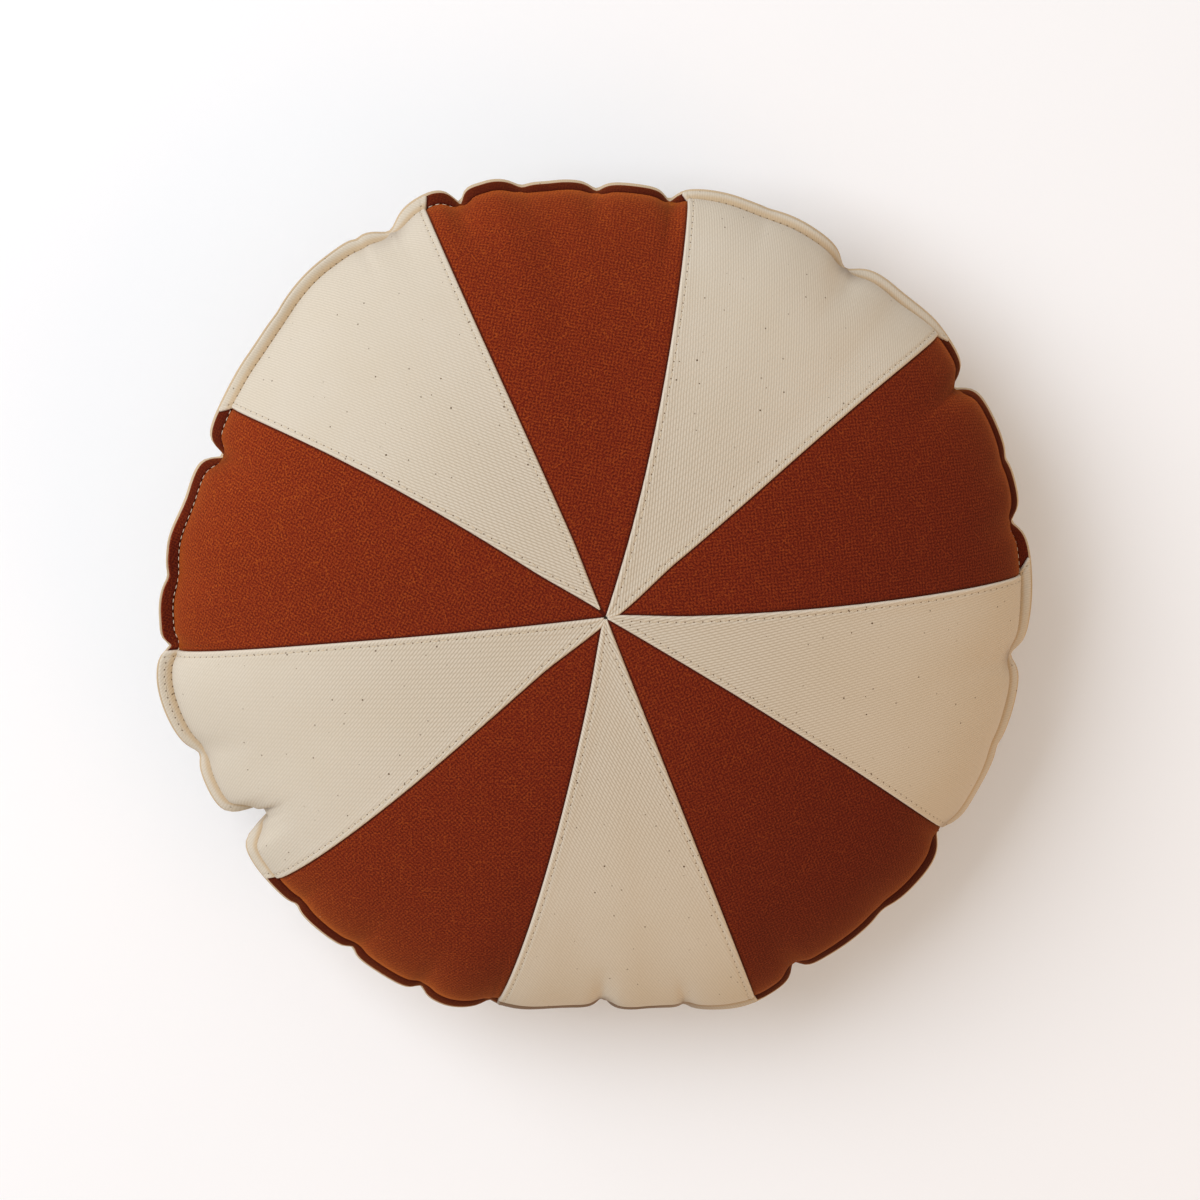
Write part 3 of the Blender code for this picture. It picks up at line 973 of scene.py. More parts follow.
def needle_holes(tree, attribute, inset, pitch, radius):
    """How much of a needle hole a point lies in, from 0 to 1, along a row of stitches."""
    place = kept(tree, attribute)
    side = add(tree, "ShaderNodeMath", {0: place["X"], 1: inset}, operation="SUBTRACT")
    along = add(tree, "ShaderNodeMath", {0: place["Y"], 1: pitch / 2.0}, operation="PINGPONG")
    flat = add(tree, "ShaderNodeCombineXYZ", {"X": side.outputs[0], "Y": along.outputs[0]})
    away = add(tree, "ShaderNodeVectorMath", {0: flat.outputs[0]}, operation="LENGTH")
    return add(tree, "ShaderNodeMapRange",
               {"Value": away.outputs["Value"], "From Min": radius, "From Max": 0.4 * radius,
                "To Min": 0.0, "To Max": 1.0}).outputs["Result"]


def near_line(tree, attribute, inner, outer):
    """How near a point lies to a sewn line: 1 within inner metres, falling to 0 at outer."""
    away = add(tree, "ShaderNodeMath", {0: kept(tree, attribute)["X"]}, operation="ABSOLUTE")
    return add(tree, "ShaderNodeMapRange",
               {"Value": away.outputs[0], "From Min": outer, "From Max": inner},
               interpolation_type="SMOOTHSTEP").outputs["Result"]


# The way towards the key light, by which the cloths' colours get painted light and shade, and how far a face
# must turn from it for the full painted shade
PAINTED_LIGHT_WAY = (-0.80, 0.55, 0.0)
PAINTED_SHADE_FACING = -0.60


def with_painted_light(tree, colour, shade_tint, along, full):
    """A cloth's colour with painted light and shade: multiplied by one tint where its face turns away from
    the key light and by another where it turns towards it, fully at the facing full.
    """
    out = add(tree, "ShaderNodeNewGeometry").outputs["Normal"]
    faced = add(tree, "ShaderNodeVectorMath", {0: out, 1: PAINTED_LIGHT_WAY}, operation="DOT_PRODUCT")
    share = add(tree, "ShaderNodeMapRange",
                {"Value": faced.outputs["Value"], "From Min": PAINTED_SHADE_FACING, "From Max": full})
    tint = add(tree, "ShaderNodeMix",
               {0: share.outputs["Result"], 4: shade_tint, 5: along}, data_type="VECTOR").outputs[1]
    return add(tree, "ShaderNodeVectorMath", {0: colour, 1: tint}, operation="MULTIPLY").outputs[0]


def swayed(tree, cloth, scale, far):
    """The places on the flat cloth, swayed a little so that no thread runs quite straight."""
    sway = add(tree, "ShaderNodeTexNoise", {"Vector": cloth, "Scale": scale, "Detail": 2.0})
    return add(tree, "ShaderNodeVectorMath",
               {0: sway.outputs["Color"], 1: (far, far, 0.0), 2: cloth}, operation="MULTIPLY_ADD").outputs[0]


def drawn_noise(tree, cloth, grains, detail):
    """Noise for fibres and slubs, with its own count of grains to the metre along each thread's way."""
    place = add(tree, "ShaderNodeVectorMath", {0: cloth, 1: (*grains, 1.0)}, operation="MULTIPLY")
    noise = add(tree, "ShaderNodeTexNoise", {"Vector": place.outputs[0], "Scale": 1.0, "Detail": detail})
    return noise.outputs["Fac"]


def laid_over(tree, share, most, under, over):
    """A colour under another, which is laid over it by a share of most."""
    part = add(tree, "ShaderNodeMath", {0: share, 1: most}, operation="MULTIPLY")
    mixed = add(tree, "ShaderNodeMix", {0: part.outputs[0], 6: under, 7: opaque(over)}, data_type="RGBA")
    return mixed.outputs[2]


def flecks(tree, cloth, scale, chosen_from, smallest, largest):
    """Which points of the cloth lie in a fleck, and a random number for each fleck."""
    cells = add(tree, "ShaderNodeTexVoronoi", {"Vector": cloth, "Scale": scale, "Randomness": 1.0},
                voronoi_dimensions="2D")
    chosen = add(tree, "ShaderNodeSeparateColor", {0: cells.outputs["Color"]})
    size = add(tree, "ShaderNodeMapRange",
               {"Value": chosen.outputs[0], "From Min": chosen_from, "From Max": 1.0,
                "To Min": smallest, "To Max": largest})
    inside = add(tree, "ShaderNodeMath",
                 {0: cells.outputs["Distance"], 1: size.outputs["Result"]}, operation="LESS_THAN")
    return inside.outputs[0], chosen.outputs[1]


def new_material(name):
    """An empty node material."""
    material = bpy.data.materials.new(name)
    material.use_nodes = True
    material.node_tree.nodes.clear()
    return material


def ecru_cotton_twill(sizes, colours):
    """Unbleached cotton twill, woven and washed: slanting wales, small dark seed specks and a dry face."""
    material = new_material("ecru_cotton_twill")
    tree = material.node_tree
    cloth = add(tree, "ShaderNodeUVMap", uv_map="cloth").outputs["UV"]
    axes = add(tree, "ShaderNodeSeparateXYZ", {0: swayed(tree, cloth, 70.0, 0.9 * MM)})
    # The real wales are 0.9 mm apart, under two pixels: they are drawn 1.25 mm apart so that they show
    phase = add(tree, "ShaderNodeMath", {0: axes.outputs["X"], 1: sizes.twill_wale}, operation="DIVIDE")
    swing = add(tree, "ShaderNodeMath", {0: phase.outputs[0], 1: math.pi}, operation="MULTIPLY")
    wave = add(tree, "ShaderNodeMath", {0: swing.outputs[0]}, operation="SINE")
    ridge = add(tree, "ShaderNodeMath", {0: wave.outputs[0]}, operation="ABSOLUTE")
    number = add(tree, "ShaderNodeMath", {0: phase.outputs[0]}, operation="FLOOR")
    floats = add(tree, "ShaderNodeMath",
                 {0: axes.outputs["Y"], 1: 2.4 * sizes.twill_wale}, operation="DIVIDE")
    shifted = add(tree, "ShaderNodeMath",
                  {0: number.outputs[0], 1: 0.37, 2: floats.outputs[0]}, operation="MULTIPLY_ADD")
    turns = add(tree, "ShaderNodeMath", {0: shifted.outputs[0], 1: math.pi}, operation="MULTIPLY")
    crossing = add(tree, "ShaderNodeMath", {0: turns.outputs[0]}, operation="SINE")
    length = add(tree, "ShaderNodeMath", {0: crossing.outputs[0]}, operation="ABSOLUTE")
    yarn = add(tree, "ShaderNodeMapRange", {"Value": length.outputs[0], "To Min": 0.60, "To Max": 1.0})
    weave = add(tree, "ShaderNodeMath",
                {0: ridge.outputs[0], 1: yarn.outputs["Result"]}, operation="MULTIPLY")
    fibre = drawn_noise(tree, cloth, (1500.0, 420.0), 2.0)
    thread = add(tree, "ShaderNodeMix", {0: 0.22, 2: weave.outputs[0], 3: fibre}, data_type="FLOAT")

    mottle = add(tree, "ShaderNodeTexNoise", {"Vector": cloth, "Scale": 26.0, "Detail": 4.0})
    ground = add(tree, "ShaderNodeMix",
                 {0: mottle.outputs["Fac"], 6: opaque(colours.ecru), 7: opaque(colours.ecru_warm)},
                 data_type="RGBA")
    depth = add(tree, "ShaderNodeMapRange",
                {"Value": thread.outputs[0], "From Min": 0.12, "From Max": 0.78,
                 "To Min": 0.70, "To Max": 0.0})
    # Towards the rim the cloth is stretched, and its wales flatten
    relaxed = add(tree, "ShaderNodeMapRange",
                  {"Value": kept(tree, "seam")["Z"], "From Min": 0.30, "From Max": 0.85,
                   "To Min": 1.0, "To Max": 0.30}, interpolation_type="SMOOTHSTEP")
    lines = add(tree, "ShaderNodeMath",
                {0: depth.outputs["Result"], 1: relaxed.outputs["Result"]}, operation="MULTIPLY")
    woven = add(tree, "ShaderNodeMix",
                {0: lines.outputs[0], 6: ground.outputs[2], 7: opaque(colours.ecru_shade)},
                data_type="RGBA")
    # Painted warm shade in the flange's trough and along the back layer's edge, standing in for the shade and
    # the warm light that the cloths throw on each other there
    trough = near_line(tree, "rim", 1.2 * MM, 3.6 * MM)
    rim = kept(tree, "rim")
    lower = add(tree, "ShaderNodeMath", {0: rim["Z"], 1: trough}, operation="MAXIMUM")
    trough_shaded = laid_over(tree, lower.outputs[0], 0.55, woven.outputs[2], colours.ecru_trough_shade)
    # Painted brown shade in a pucker's pocket, along a deep fold's line, on the flange where it hangs out of
    # the light, and on the back layer's edge where it hangs
    lie = kept(tree, "lie")
    past = add(tree, "ShaderNodeMapRange", {"Value": rim["X"], "From Min": 1.6 * MM, "From Max": -0.4 * MM},
               interpolation_type="SMOOTHSTEP")
    hangs = add(tree, "ShaderNodeMapRange", {"Value": lie["X"], "From Min": 0.72, "From Max": 1.0})
    turned = add(tree, "ShaderNodeMath",
                 {0: past.outputs["Result"], 1: hangs.outputs["Result"]}, operation="MULTIPLY")
    dim = add(tree, "ShaderNodeMath", {0: turned.outputs[0], 1: lie["Y"]}, operation="MAXIMUM")
    dimmed = laid_over(tree, dim.outputs[0], 0.78, trough_shaded, colours.ecru_pocket_shade)
    # The turned edge is worn paler
    edge = near_line(tree, "seam", 0.3 * MM, 1.3 * MM)
    edged = laid_over(tree, edge, 0.35, dimmed, colours.ecru_light)
    inside, random = flecks(tree, cloth, 100.0, 0.45, 0.006, 0.050)
    dark = add(tree, "ShaderNodeMapRange", {"Value": random, "To Min": 0.15, "To Max": 1.0})
    specked = laid_over(tree, inside, dark.outputs["Result"], edged, colours.seed_speck)
    seam_holes = needle_holes(tree, "seam", sizes.stitch_inset, sizes.stitch_pitch, 0.42 * MM)
    rim_holes = needle_holes(tree, "rim", 0.0, sizes.rim_stitch_pitch, 0.45 * MM)
    sewn = add(tree, "ShaderNodeMath", {0: seam_holes, 1: rim_holes}, operation="MAXIMUM")
    closing_holes = needle_holes(tree, "closing", 0.0, sizes.rim_stitch_pitch, 0.45 * MM)
    holes = add(tree, "ShaderNodeMath", {0: sewn.outputs[0], 1: closing_holes}, operation="MAXIMUM")
    holed = add(tree, "ShaderNodeMix",
                {0: holes.outputs[0], 6: specked, 7: opaque(colours.needle_hole)}, data_type="RGBA")

    sunk = add(tree, "ShaderNodeMath", {0: holes.outputs[0], 1: 3.0}, operation="MULTIPLY")
    relief = add(tree, "ShaderNodeMath", {0: thread.outputs[0], 1: sunk.outputs[0]}, operation="SUBTRACT")
    bump = add(tree, "ShaderNodeBump",
               {"Height": relief.outputs[0], "Strength": 0.55, "Distance": 0.25 * MM})
    # Painted warm shade on faces turned away from the key light
    colour = with_painted_light(tree, holed.outputs[2], (1.0, 0.93, 0.82), (1.0, 1.0, 1.0), 0.0)
    shader = add(tree, "ShaderNodeBsdfPrincipled",
                 {"Base Color": colour, "Roughness": 0.92, "IOR": 1.46, "Specular IOR Level": 0.25,
                  "Sheen Weight": 0.03, "Sheen Roughness": 0.45, "Normal": bump.outputs["Normal"]})
    add(tree, "ShaderNodeOutputMaterial", {"Surface": shader.outputs["BSDF"]})
    return material


def rust_linen(sizes, colours):
    """Piece-dyed linen-look cloth in plain weave: slubs, paler raised fibres and a soft orange sheen, with
    painted orange light on the side towards the key light.
    """
    material = new_material("washed_rust_linen")
    tree = material.node_tree
    cloth = add(tree, "ShaderNodeUVMap", uv_map="cloth").outputs["UV"]
    # The real threads are about 0.6 mm apart: they are drawn 1.1 mm apart so that they show
    turned = add(tree, "ShaderNodeVectorMath",
                 {0: swayed(tree, cloth, 60.0, 1.2 * MM), "Scale": math.pi / sizes.linen_thread},
                 operation="SCALE")
    axes = add(tree, "ShaderNodeSeparateXYZ", {0: turned.outputs[0]})
    warp = add(tree, "ShaderNodeMath", {0: axes.outputs["X"]}, operation="SINE")
    weft = add(tree, "ShaderNodeMath", {0: axes.outputs["Y"]}, operation="SINE")
    over = add(tree, "ShaderNodeMath", {0: warp.outputs[0], 1: weft.outputs[0]}, operation="MULTIPLY")
    checks = add(tree, "ShaderNodeMapRange", {"Value": over.outputs[0], "From Min": -1.0, "From Max": 1.0})
    fibre = drawn_noise(tree, cloth, (1250.0, 1250.0), 3.0)
    slub_warp = drawn_noise(tree, cloth, (900.0, 80.0), 1.0)
    slub_weft = drawn_noise(tree, cloth, (80.0, 900.0), 1.0)
    slub = add(tree, "ShaderNodeMath", {0: slub_warp, 1: slub_weft}, operation="MAXIMUM")
    slubs = add(tree, "ShaderNodeMapRange", {"Value": slub.outputs[0], "From Min": 0.60, "From Max": 0.80})
    weave = add(tree, "ShaderNodeMix", {0: 0.85, 2: checks.outputs["Result"], 3: fibre}, data_type="FLOAT")
    thread = add(tree, "ShaderNodeMath",
                 {0: slubs.outputs["Result"], 1: 0.14, 2: weave.outputs[0]}, operation="MULTIPLY_ADD")

    mottle = add(tree, "ShaderNodeTexNoise", {"Vector": cloth, "Scale": 30.0, "Detail": 4.0})
    ground = add(tree, "ShaderNodeMix",
                 {0: mottle.outputs["Fac"], 6: opaque(colours.rust), 7: opaque(colours.rust_deep)},
                 data_type="RGBA")
    lit = add(tree, "ShaderNodeMapRange",
              {"Value": thread.outputs[0], "From Min": 0.46, "From Max": 0.72, "To Min": 0.0, "To Max": 0.75})
    woven = add(tree, "ShaderNodeMix",
                {0: lit.outputs["Result"], 6: ground.outputs[2], 7: opaque(colours.rust_fibre)},
                data_type="RGBA")
    shade = add(tree, "ShaderNodeMapRange",
                {"Value": weave.outputs[0], "From Min": 0.34, "From Max": 0.52,
                 "To Min": 0.65, "To Max": 0.0})
    shaded = add(tree, "ShaderNodeMix",
                 {0: shade.outputs["Result"], 6: woven.outputs[2], 7: opaque(colours.rust_shade)},
                 data_type="RGBA")
    # Painted shade in the dip beside each seam, where the rust cloth runs under the ecru roll
    seam_dip_shade = near_line(tree, "seam", 0.6 * MM, 1.5 * MM)
    seam_dip_shaded = laid_over(tree, seam_dip_shade, 0.85, shaded.outputs[2], colours.rust_shade)
    # Painted nearly black-brown shade where the flange hangs out of the light, in a pucker's pocket and along
    # a deep fold's line
    past = add(tree, "ShaderNodeMapRange",
               {"Value": kept(tree, "rim")["X"], "From Min": 2.4 * MM, "From Max": -0.6 * MM,
                "To Min": 0.0, "To Max": 0.82}, interpolation_type="SMOOTHSTEP")
    lie = kept(tree, "lie")
    hangs = add(tree, "ShaderNodeMapRange",
                {"Value": lie["X"], "From Min": 0.0, "From Max": 0.55, "To Min": 0.40, "To Max": 1.0})
    turned = add(tree, "ShaderNodeMath",
                 {0: past.outputs["Result"], 1: hangs.outputs["Result"]}, operation="MULTIPLY")
    pocket = add(tree, "ShaderNodeMath", {0: lie["Y"], 1: 0.8}, operation="MULTIPLY")
    dim = add(tree, "ShaderNodeMath", {0: turned.outputs[0], 1: pocket.outputs[0]}, operation="MAXIMUM")
    pocket_shaded = add(tree, "ShaderNodeMix",
                  {0: dim.outputs[0], 6: seam_dip_shaded, 7: opaque(colours.rust_shade)}, data_type="RGBA")
    # A few specks of pale lint
    lint, _ = flecks(tree, cloth, 36.0, 0.86, 0.0, 0.012)
    specked = add(tree, "ShaderNodeMix",
                  {0: lint, 6: pocket_shaded.outputs[2], 7: opaque(colours.ecru)}, data_type="RGBA")
    holes = needle_holes(tree, "rim", 0.0, sizes.rim_stitch_pitch, 0.45 * MM)
    # The needle holes are painted in dark shade
    holed = add(tree, "ShaderNodeMix",
                {0: holes, 6: specked.outputs[2], 7: opaque(colours.rust_hole_shade)}, data_type="RGBA")

    sunk = add(tree, "ShaderNodeMath", {0: holes, 1: 3.0}, operation="MULTIPLY")
    relief = add(tree, "ShaderNodeMath", {0: thread.outputs[0], 1: sunk.outputs[0]}, operation="SUBTRACT")
    bump = add(tree, "ShaderNodeBump",
               {"Height": relief.outputs[0], "Strength": 0.7, "Distance": 0.42 * MM})
    # Painted orange light on faces turned towards the key light, and painted darker red shade on faces turned
    # away from it
    colour = with_painted_light(tree, holed.outputs[2], (0.64, 0.54, 0.92), (1.46, 1.64, 1.08), 0.65)
    shader = add(tree, "ShaderNodeBsdfPrincipled",
                 {"Base Color": colour, "Roughness": 0.95, "IOR": 1.46, "Specular IOR Level": 0.12,
                  "Sheen Weight": 0.45, "Sheen Roughness": 0.46, "Sheen Tint": opaque(colours.rust_bloom),
                  "Normal": bump.outputs["Normal"]})
    add(tree, "ShaderNodeOutputMaterial", {"Surface": shader.outputs["BSDF"]})
    return material


def cotton_thread(sizes, colours):
    """Spun cotton sewing thread in the colour of the ecru cloth, with the slant of its two plies."""
    material = new_material("cotton_thread")
    tree = material.node_tree
    unrolled = add(tree, "ShaderNodeUVMap", uv_map="thread").outputs["UV"]
    axes = add(tree, "ShaderNodeSeparateXYZ", {0: unrolled})
    slant = add(tree, "ShaderNodeMath", {0: axes.outputs["Y"], 1: 5.0, 2: axes.outputs["X"]},
                operation="MULTIPLY_ADD")
    turns = add(tree, "ShaderNodeMath", {0: slant.outputs[0], 1: 2.0 * math.pi}, operation="MULTIPLY")
    ply = add(tree, "ShaderNodeMath", {0: turns.outputs[0]}, operation="SINE")
    shade = add(tree, "ShaderNodeMapRange",
                {"Value": ply.outputs[0], "From Min": -1.0, "From Max": 1.0, "To Min": 0.35, "To Max": 0.0})
    colour = add(tree, "ShaderNodeMix",
                 {0: shade.outputs["Result"], 6: opaque(colours.thread), 7: opaque(colours.ecru_shade)},
                 data_type="RGBA")
    bump = add(tree, "ShaderNodeBump", {"Height": ply.outputs[0], "Strength": 0.4, "Distance": 0.06 * MM})
    shader = add(tree, "ShaderNodeBsdfPrincipled",
                 {"Base Color": colour.outputs[2], "Roughness": 0.8, "IOR": 1.5, "Specular IOR Level": 0.3,
                  "Sheen Weight": 0.1, "Normal": bump.outputs["Normal"]})
    add(tree, "ShaderNodeOutputMaterial", {"Surface": shader.outputs["BSDF"]})
    return material


def pale_floor(sizes, colours):
    """A matt painted studio floor: even and pale, with the faintest mottle."""
    material = new_material("pale_studio_floor")
    tree = material.node_tree
    place = add(tree, "ShaderNodeTexCoord").outputs["Object"]
    mottle = add(tree, "ShaderNodeTexNoise", {"Vector": place, "Scale": 3.0, "Detail": 3.0})
    colour = add(tree, "ShaderNodeMix",
                 {0: mottle.outputs["Fac"], 6: opaque(colours.floor), 7: opaque(colours.floor_shade)},
                 data_type="RGBA")
    shader = add(tree, "ShaderNodeBsdfPrincipled", {"Base Color": colour.outputs[2], "Roughness": 0.85})
    add(tree, "ShaderNodeOutputMaterial", {"Surface": shader.outputs["BSDF"]})
    return material


def stitch_places(line, run, loft, pitch, start=0.0):
    """Each stitch of a row, loft metres off the form, as its two ends and the way out of the cloth."""
    angle, points, length = line
    out = facing(front_point, angle, run)
    points = points + out * loft
    first = int(math.ceil(start / pitch))
    count = int((length[-1] - first * pitch) / pitch)
    ends = (first + np.arange(count + 1)) * pitch
    place = np.stack([np.interp(ends, length, points[:, k]) for k in range(3)], axis=1)
    way = np.stack([np.interp(ends, length, out[:, k]) for k in range(3)], axis=1)
    return place[:-1], place[1:], (way[:-1] + way[1:]) / 2.0


STITCH_SIDES = 6
STITCH_RINGS = 7
# How much of the way from hole to hole the thread shows, how far its ends dip and how high it lies
STITCH_SHARE = 0.62
STITCH_BOW = 0.16 * MM
STITCH_LIFT = 0.10 * MM


def unit_stitch():
    """A ball one metre in radius, which each stitch draws out to a short run of thread."""
    shape = bmesh.new()
    shape.loops.layers.uv.new("thread")
    bmesh.ops.create_uvsphere(shape, u_segments=STITCH_SIDES, v_segments=STITCH_RINGS, radius=1.0,
                              calc_uvs=True)
    mesh = bpy.data.meshes.new("unit_stitch")
    shape.to_mesh(mesh)
    shape.free()
    return mesh


def thread_piece(name, rows):
    """One object of all the stitches of some rows, each dipping into the cloth at both ends."""
    starts, ends, outs = (np.concatenate([row[k] for row in rows]) for k in range(3))
    unit = unit_stitch()
    ball = np.empty(3 * len(unit.vertices))
    unit.vertices.foreach_get("co", ball)
    ball = ball.reshape(-1, 3)
    shape = bmesh.new()
    for _ in starts:
        shape.from_mesh(unit)
    mesh = bpy.data.meshes.new(name)
    shape.to_mesh(mesh)
    shape.free()
    bpy.data.meshes.remove(unit)

    along = ends - starts
    length = np.linalg.norm(along, axis=1, keepdims=True)
    along = along / length
    up = outs - along * (outs * along).sum(axis=1, keepdims=True)
    up = up / np.linalg.norm(up, axis=1, keepdims=True)
    side = np.cross(up, along)
    middle = (starts + ends) / 2.0 + up * STITCH_LIFT
    thickness = bpy.context.scene.cushion_sizes.thread_thickness
    across = ball[None, :, 0, None] * thickness / 2.0
    above = ball[None, :, 1, None] * thickness / 2.0 - STITCH_BOW * ball[None, :, 2, None] ** 2
    onward = ball[None, :, 2, None] * (length * STITCH_SHARE / 2.0)[:, None, :]
    points = middle[:, None] + side[:, None] * across + up[:, None] * above + along[:, None] * onward
    lay_on(mesh, points)
    smooth_faces(mesh)
    made = new_object(name, mesh)
    mesh.materials.append(bpy.data.materials["cotton_thread"])
    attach(made, "root")
    return made


def length_of(label, description, default):
    """A length in metres that a user would change."""
    return FloatProperty(name=label, description=description, default=default, unit="LENGTH")


def turn_of(label, description, degrees):
    """An angle that a user would change."""
    return FloatProperty(name=label, description=description, default=math.radians(degrees), subtype="ANGLE")


def colour_of(label, description, shade):
    """A colour that a user would change, from its sRGB hex."""
    return FloatVectorProperty(name=label, description=description, default=linear(shade), subtype="COLOR")


class CushionSizes(bpy.types.PropertyGroup):
    """Sizes that a user would change."""

    cloth_thickness: length_of("Cloth thickness", "Thickness of the front panels' cloth", 0.5 * MM)
    stitch_pitch: length_of("Topstitch length", "From hole to hole beside the seams", 4.0 * MM)
    stitch_inset: length_of("Topstitch inset", "From an ecru panel's edge in to its stitches", 2.5 * MM)
    rim_stitch_pitch: length_of("Rim stitch length", "From hole to hole round the rim", 3.3 * MM)
    thread_thickness: length_of("Thread thickness", "Thickness of the sewing thread", 0.42 * MM)
    twill_wale: length_of("Twill wale", "From one slanting wale to the next", 1.25 * MM)
    twill_turn: turn_of("Twill direction", "Turn of the wales from a panel's middle", 27.0)
    linen_thread: length_of("Linen thread", "From one linen thread to the next", 1.1 * MM)
    linen_turn: turn_of("Linen direction", "Turn of the threads from a panel's middle", 30.0)
    panel_width: length_of("Panel width", "Width of a panel's cut at the rim", 0.142)
    panel_length: length_of("Panel length", "Length of a panel's cut with its turned edge", 0.232)
    panel_area: FloatProperty(
        name="Panel area", description="Flat area of a panel's cut", default=0.0168, unit="AREA"
    )
    camera_distance: length_of("Camera distance", "From the camera to the cushion", 2.4)


class CushionColours(bpy.types.PropertyGroup):
    """Colours that a user would change."""

    ecru: colour_of("Ecru", "Unbleached cotton", "#CEC5B8")
    ecru_warm: colour_of("Ecru, warm", "Its warmer patches", "#C9BEAC")
    ecru_light: colour_of("Ecru, light", "Worn along the turned edges", "#E2D9CB")
    ecru_shade: colour_of("Ecru, shade", "Between the wales", "#94836A")
    # Painted warm shade in the flange's trough and on the back layer's edge
    ecru_trough_shade: colour_of("Ecru, trough", "In the flange's trough", "#BC9C6E")
    # Painted brown shade deep in a pucker, along a deep fold and on a hanging flange
    ecru_pocket_shade: colour_of("Ecru, pocket", "Deep in a pucker", "#5C3A1C")
    seed_speck: colour_of("Seed speck", "Flecks of cotton husk", "#5A4632")
    needle_hole: colour_of("Needle hole", "Shade in the holes of the stitches", "#6B5138")
    thread: colour_of("Thread", "Sewing thread", "#DCCDB5")
    rust: colour_of("Rust", "Dyed linen-look cloth", "#681B0F")
    rust_deep: colour_of("Rust, deep", "Its deeper patches", "#60180B")
    rust_fibre: colour_of("Rust, fibre", "Paler raised fibres", "#924019")
    # Also the painted shade in the dip beside each seam, on a hanging flange, in a pucker's pocket and along
    # a deep fold
    rust_shade: colour_of("Rust, shade", "Between the threads", "#380C06")
    # Painted shade in the needle holes of the rust cloth
    rust_hole_shade: colour_of("Rust needle hole", "Holes in the rust cloth", "#1E0806")
    rust_bloom: colour_of("Rust bloom", "Light caught by the surface fibres", "#F68A26")
    floor: colour_of("Floor", "Studio floor", "#F6F9FF")
    floor_shade: colour_of("Floor, mottle", "Its faint mottle", "#F1F4FA")


class CUSHION_OT_cloths(bpy.types.Operator):
    """Makes the materials of the cloths, the thread and the floor"""

    bl_idname = "cushion.cloths"
    bl_label = "Cloths and thread"

    def execute(self, context):
        sizes = context.scene.cushion_sizes
        colours = context.scene.cushion_colours
        for make in (ecru_cotton_twill, rust_linen, cotton_thread, pale_floor):
            make(sizes, colours)
        return {"FINISHED"}


# The runs of the back's stitches and of its flange's edge on the filled form, and how far the flange has to
# hang before that edge gets painted shade
BACK_STITCH_RUN = 4.9
BACK_EDGE_RUN = 3.5
EDGE_SHADE_FROM = 2.6 / 3.6


class CUSHION_OT_filled_form(bpy.types.Operator):
    """Builds the filled form with the back cloth and the flange's back layer"""

    bl_idname = "cushion.filled_form"
    bl_label = "Filled form and back"

    def execute(self, context):
        stuffed()
        rows = run_rows(FILLED_ROWS)
        angle = np.linspace(0.0, WHOLE_TURN, FILLED_COLUMNS + 1)
        run, turn = np.meshgrid(rows, angle, indexing="ij")
        points = filled_point(turn, run)
        mesh = grid_mesh("filled_form", FILLED_COLUMNS, len(rows) - 1)
        lay_on(mesh, points)
        length = so_far(points).mean(axis=1)[:, None]
        inward = length[-1] - length
        flat = np.stack([inward * np.cos(np.radians(turn)), inward * np.sin(np.radians(turn))], axis=-1)
        keep_map(mesh, "cloth", flat)
        stitches = length[np.searchsorted(rows, BACK_STITCH_RUN)]
        rim_angle, _, rim_length = rim_line()
        around = np.interp(turn, rim_angle, rim_length)
        # The back layer's edge gets the painted trough shade, and painted brown shade where the flange hangs
        edge = np.clip(2.0 - 2.0 * np.abs(run - BACK_EDGE_RUN), 0.0, 1.0)
        keep_vectors(mesh, "rim", np.stack([stitches - length + 0.0 * turn, around, edge], axis=-1))
        hangs = rim_lie(turn, run)[..., 0]
        shade = np.clip((hangs - EDGE_SHADE_FROM) / (1.0 - EDGE_SHADE_FROM), 0.0, 1.0) * edge
        keep_vectors(mesh, "lie", np.stack([0.0 * hangs, shade, hangs], axis=-1))
        far = np.full_like(turn, FAR)
        keep_vectors(mesh, "seam", np.stack([far, far, far], axis=-1))
        keep_vectors(mesh, "closing", np.stack([far, far, far], axis=-1))
        weld(mesh)
        smooth_faces(mesh)
        made = new_object("filled_form", mesh)
        mesh.materials.append(bpy.data.materials["ecru_cotton_twill"])
        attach(made, "root")
        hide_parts("filled_back")
        return {"FINISHED"}


class CUSHION_OT_cream_panels(bpy.types.Operator):
    """Builds the five ecru panels with their rolled seam edges"""

    bl_idname = "cushion.cream_panels"
    bl_label = "Ecru panels"

    def execute(self, context):
        for number in range(1, 6):
            panel(f"cream_panel_{number}", 2 * number - 1, "ecru_cotton_twill",
                  f"cream_wedge_{number}")
        return {"FINISHED"}


class CUSHION_OT_rust_panels(bpy.types.Operator):
    """Builds the five rust panels, which run under the ecru ones"""

    bl_idname = "cushion.rust_panels"
    bl_label = "Rust panels"

    def execute(self, context):
        for number in range(1, 6):
            panel(f"rust_panel_{number}", 2 * number - 2, "washed_rust_linen",
                  f"rust_wedge_{number}")
        return {"FINISHED"}


# The rows beside the seams start this far from the centre
TOPSTITCH_FROM = 9.0 * MM


class CUSHION_OT_topstitching(bpy.types.Operator):
    """Sews the topstitch rows beside the seams"""

    bl_idname = "cushion.topstitching"
    bl_label = "Topstitching"

    def execute(self, context):
        sizes = context.scene.cushion_sizes
        loft = cream_loft(np.array([sizes.stitch_inset]), np.array([1.0]))[0] + sizes.cloth_thickness / 2.0
        rows = []
        for index in range(len(SEAMS)):
            run, *line = seam_line(index)
            rows.append(stitch_places(line, run, loft, sizes.stitch_pitch, TOPSTITCH_FROM))
        thread_piece("topstitching", rows)
        return {"FINISHED"}


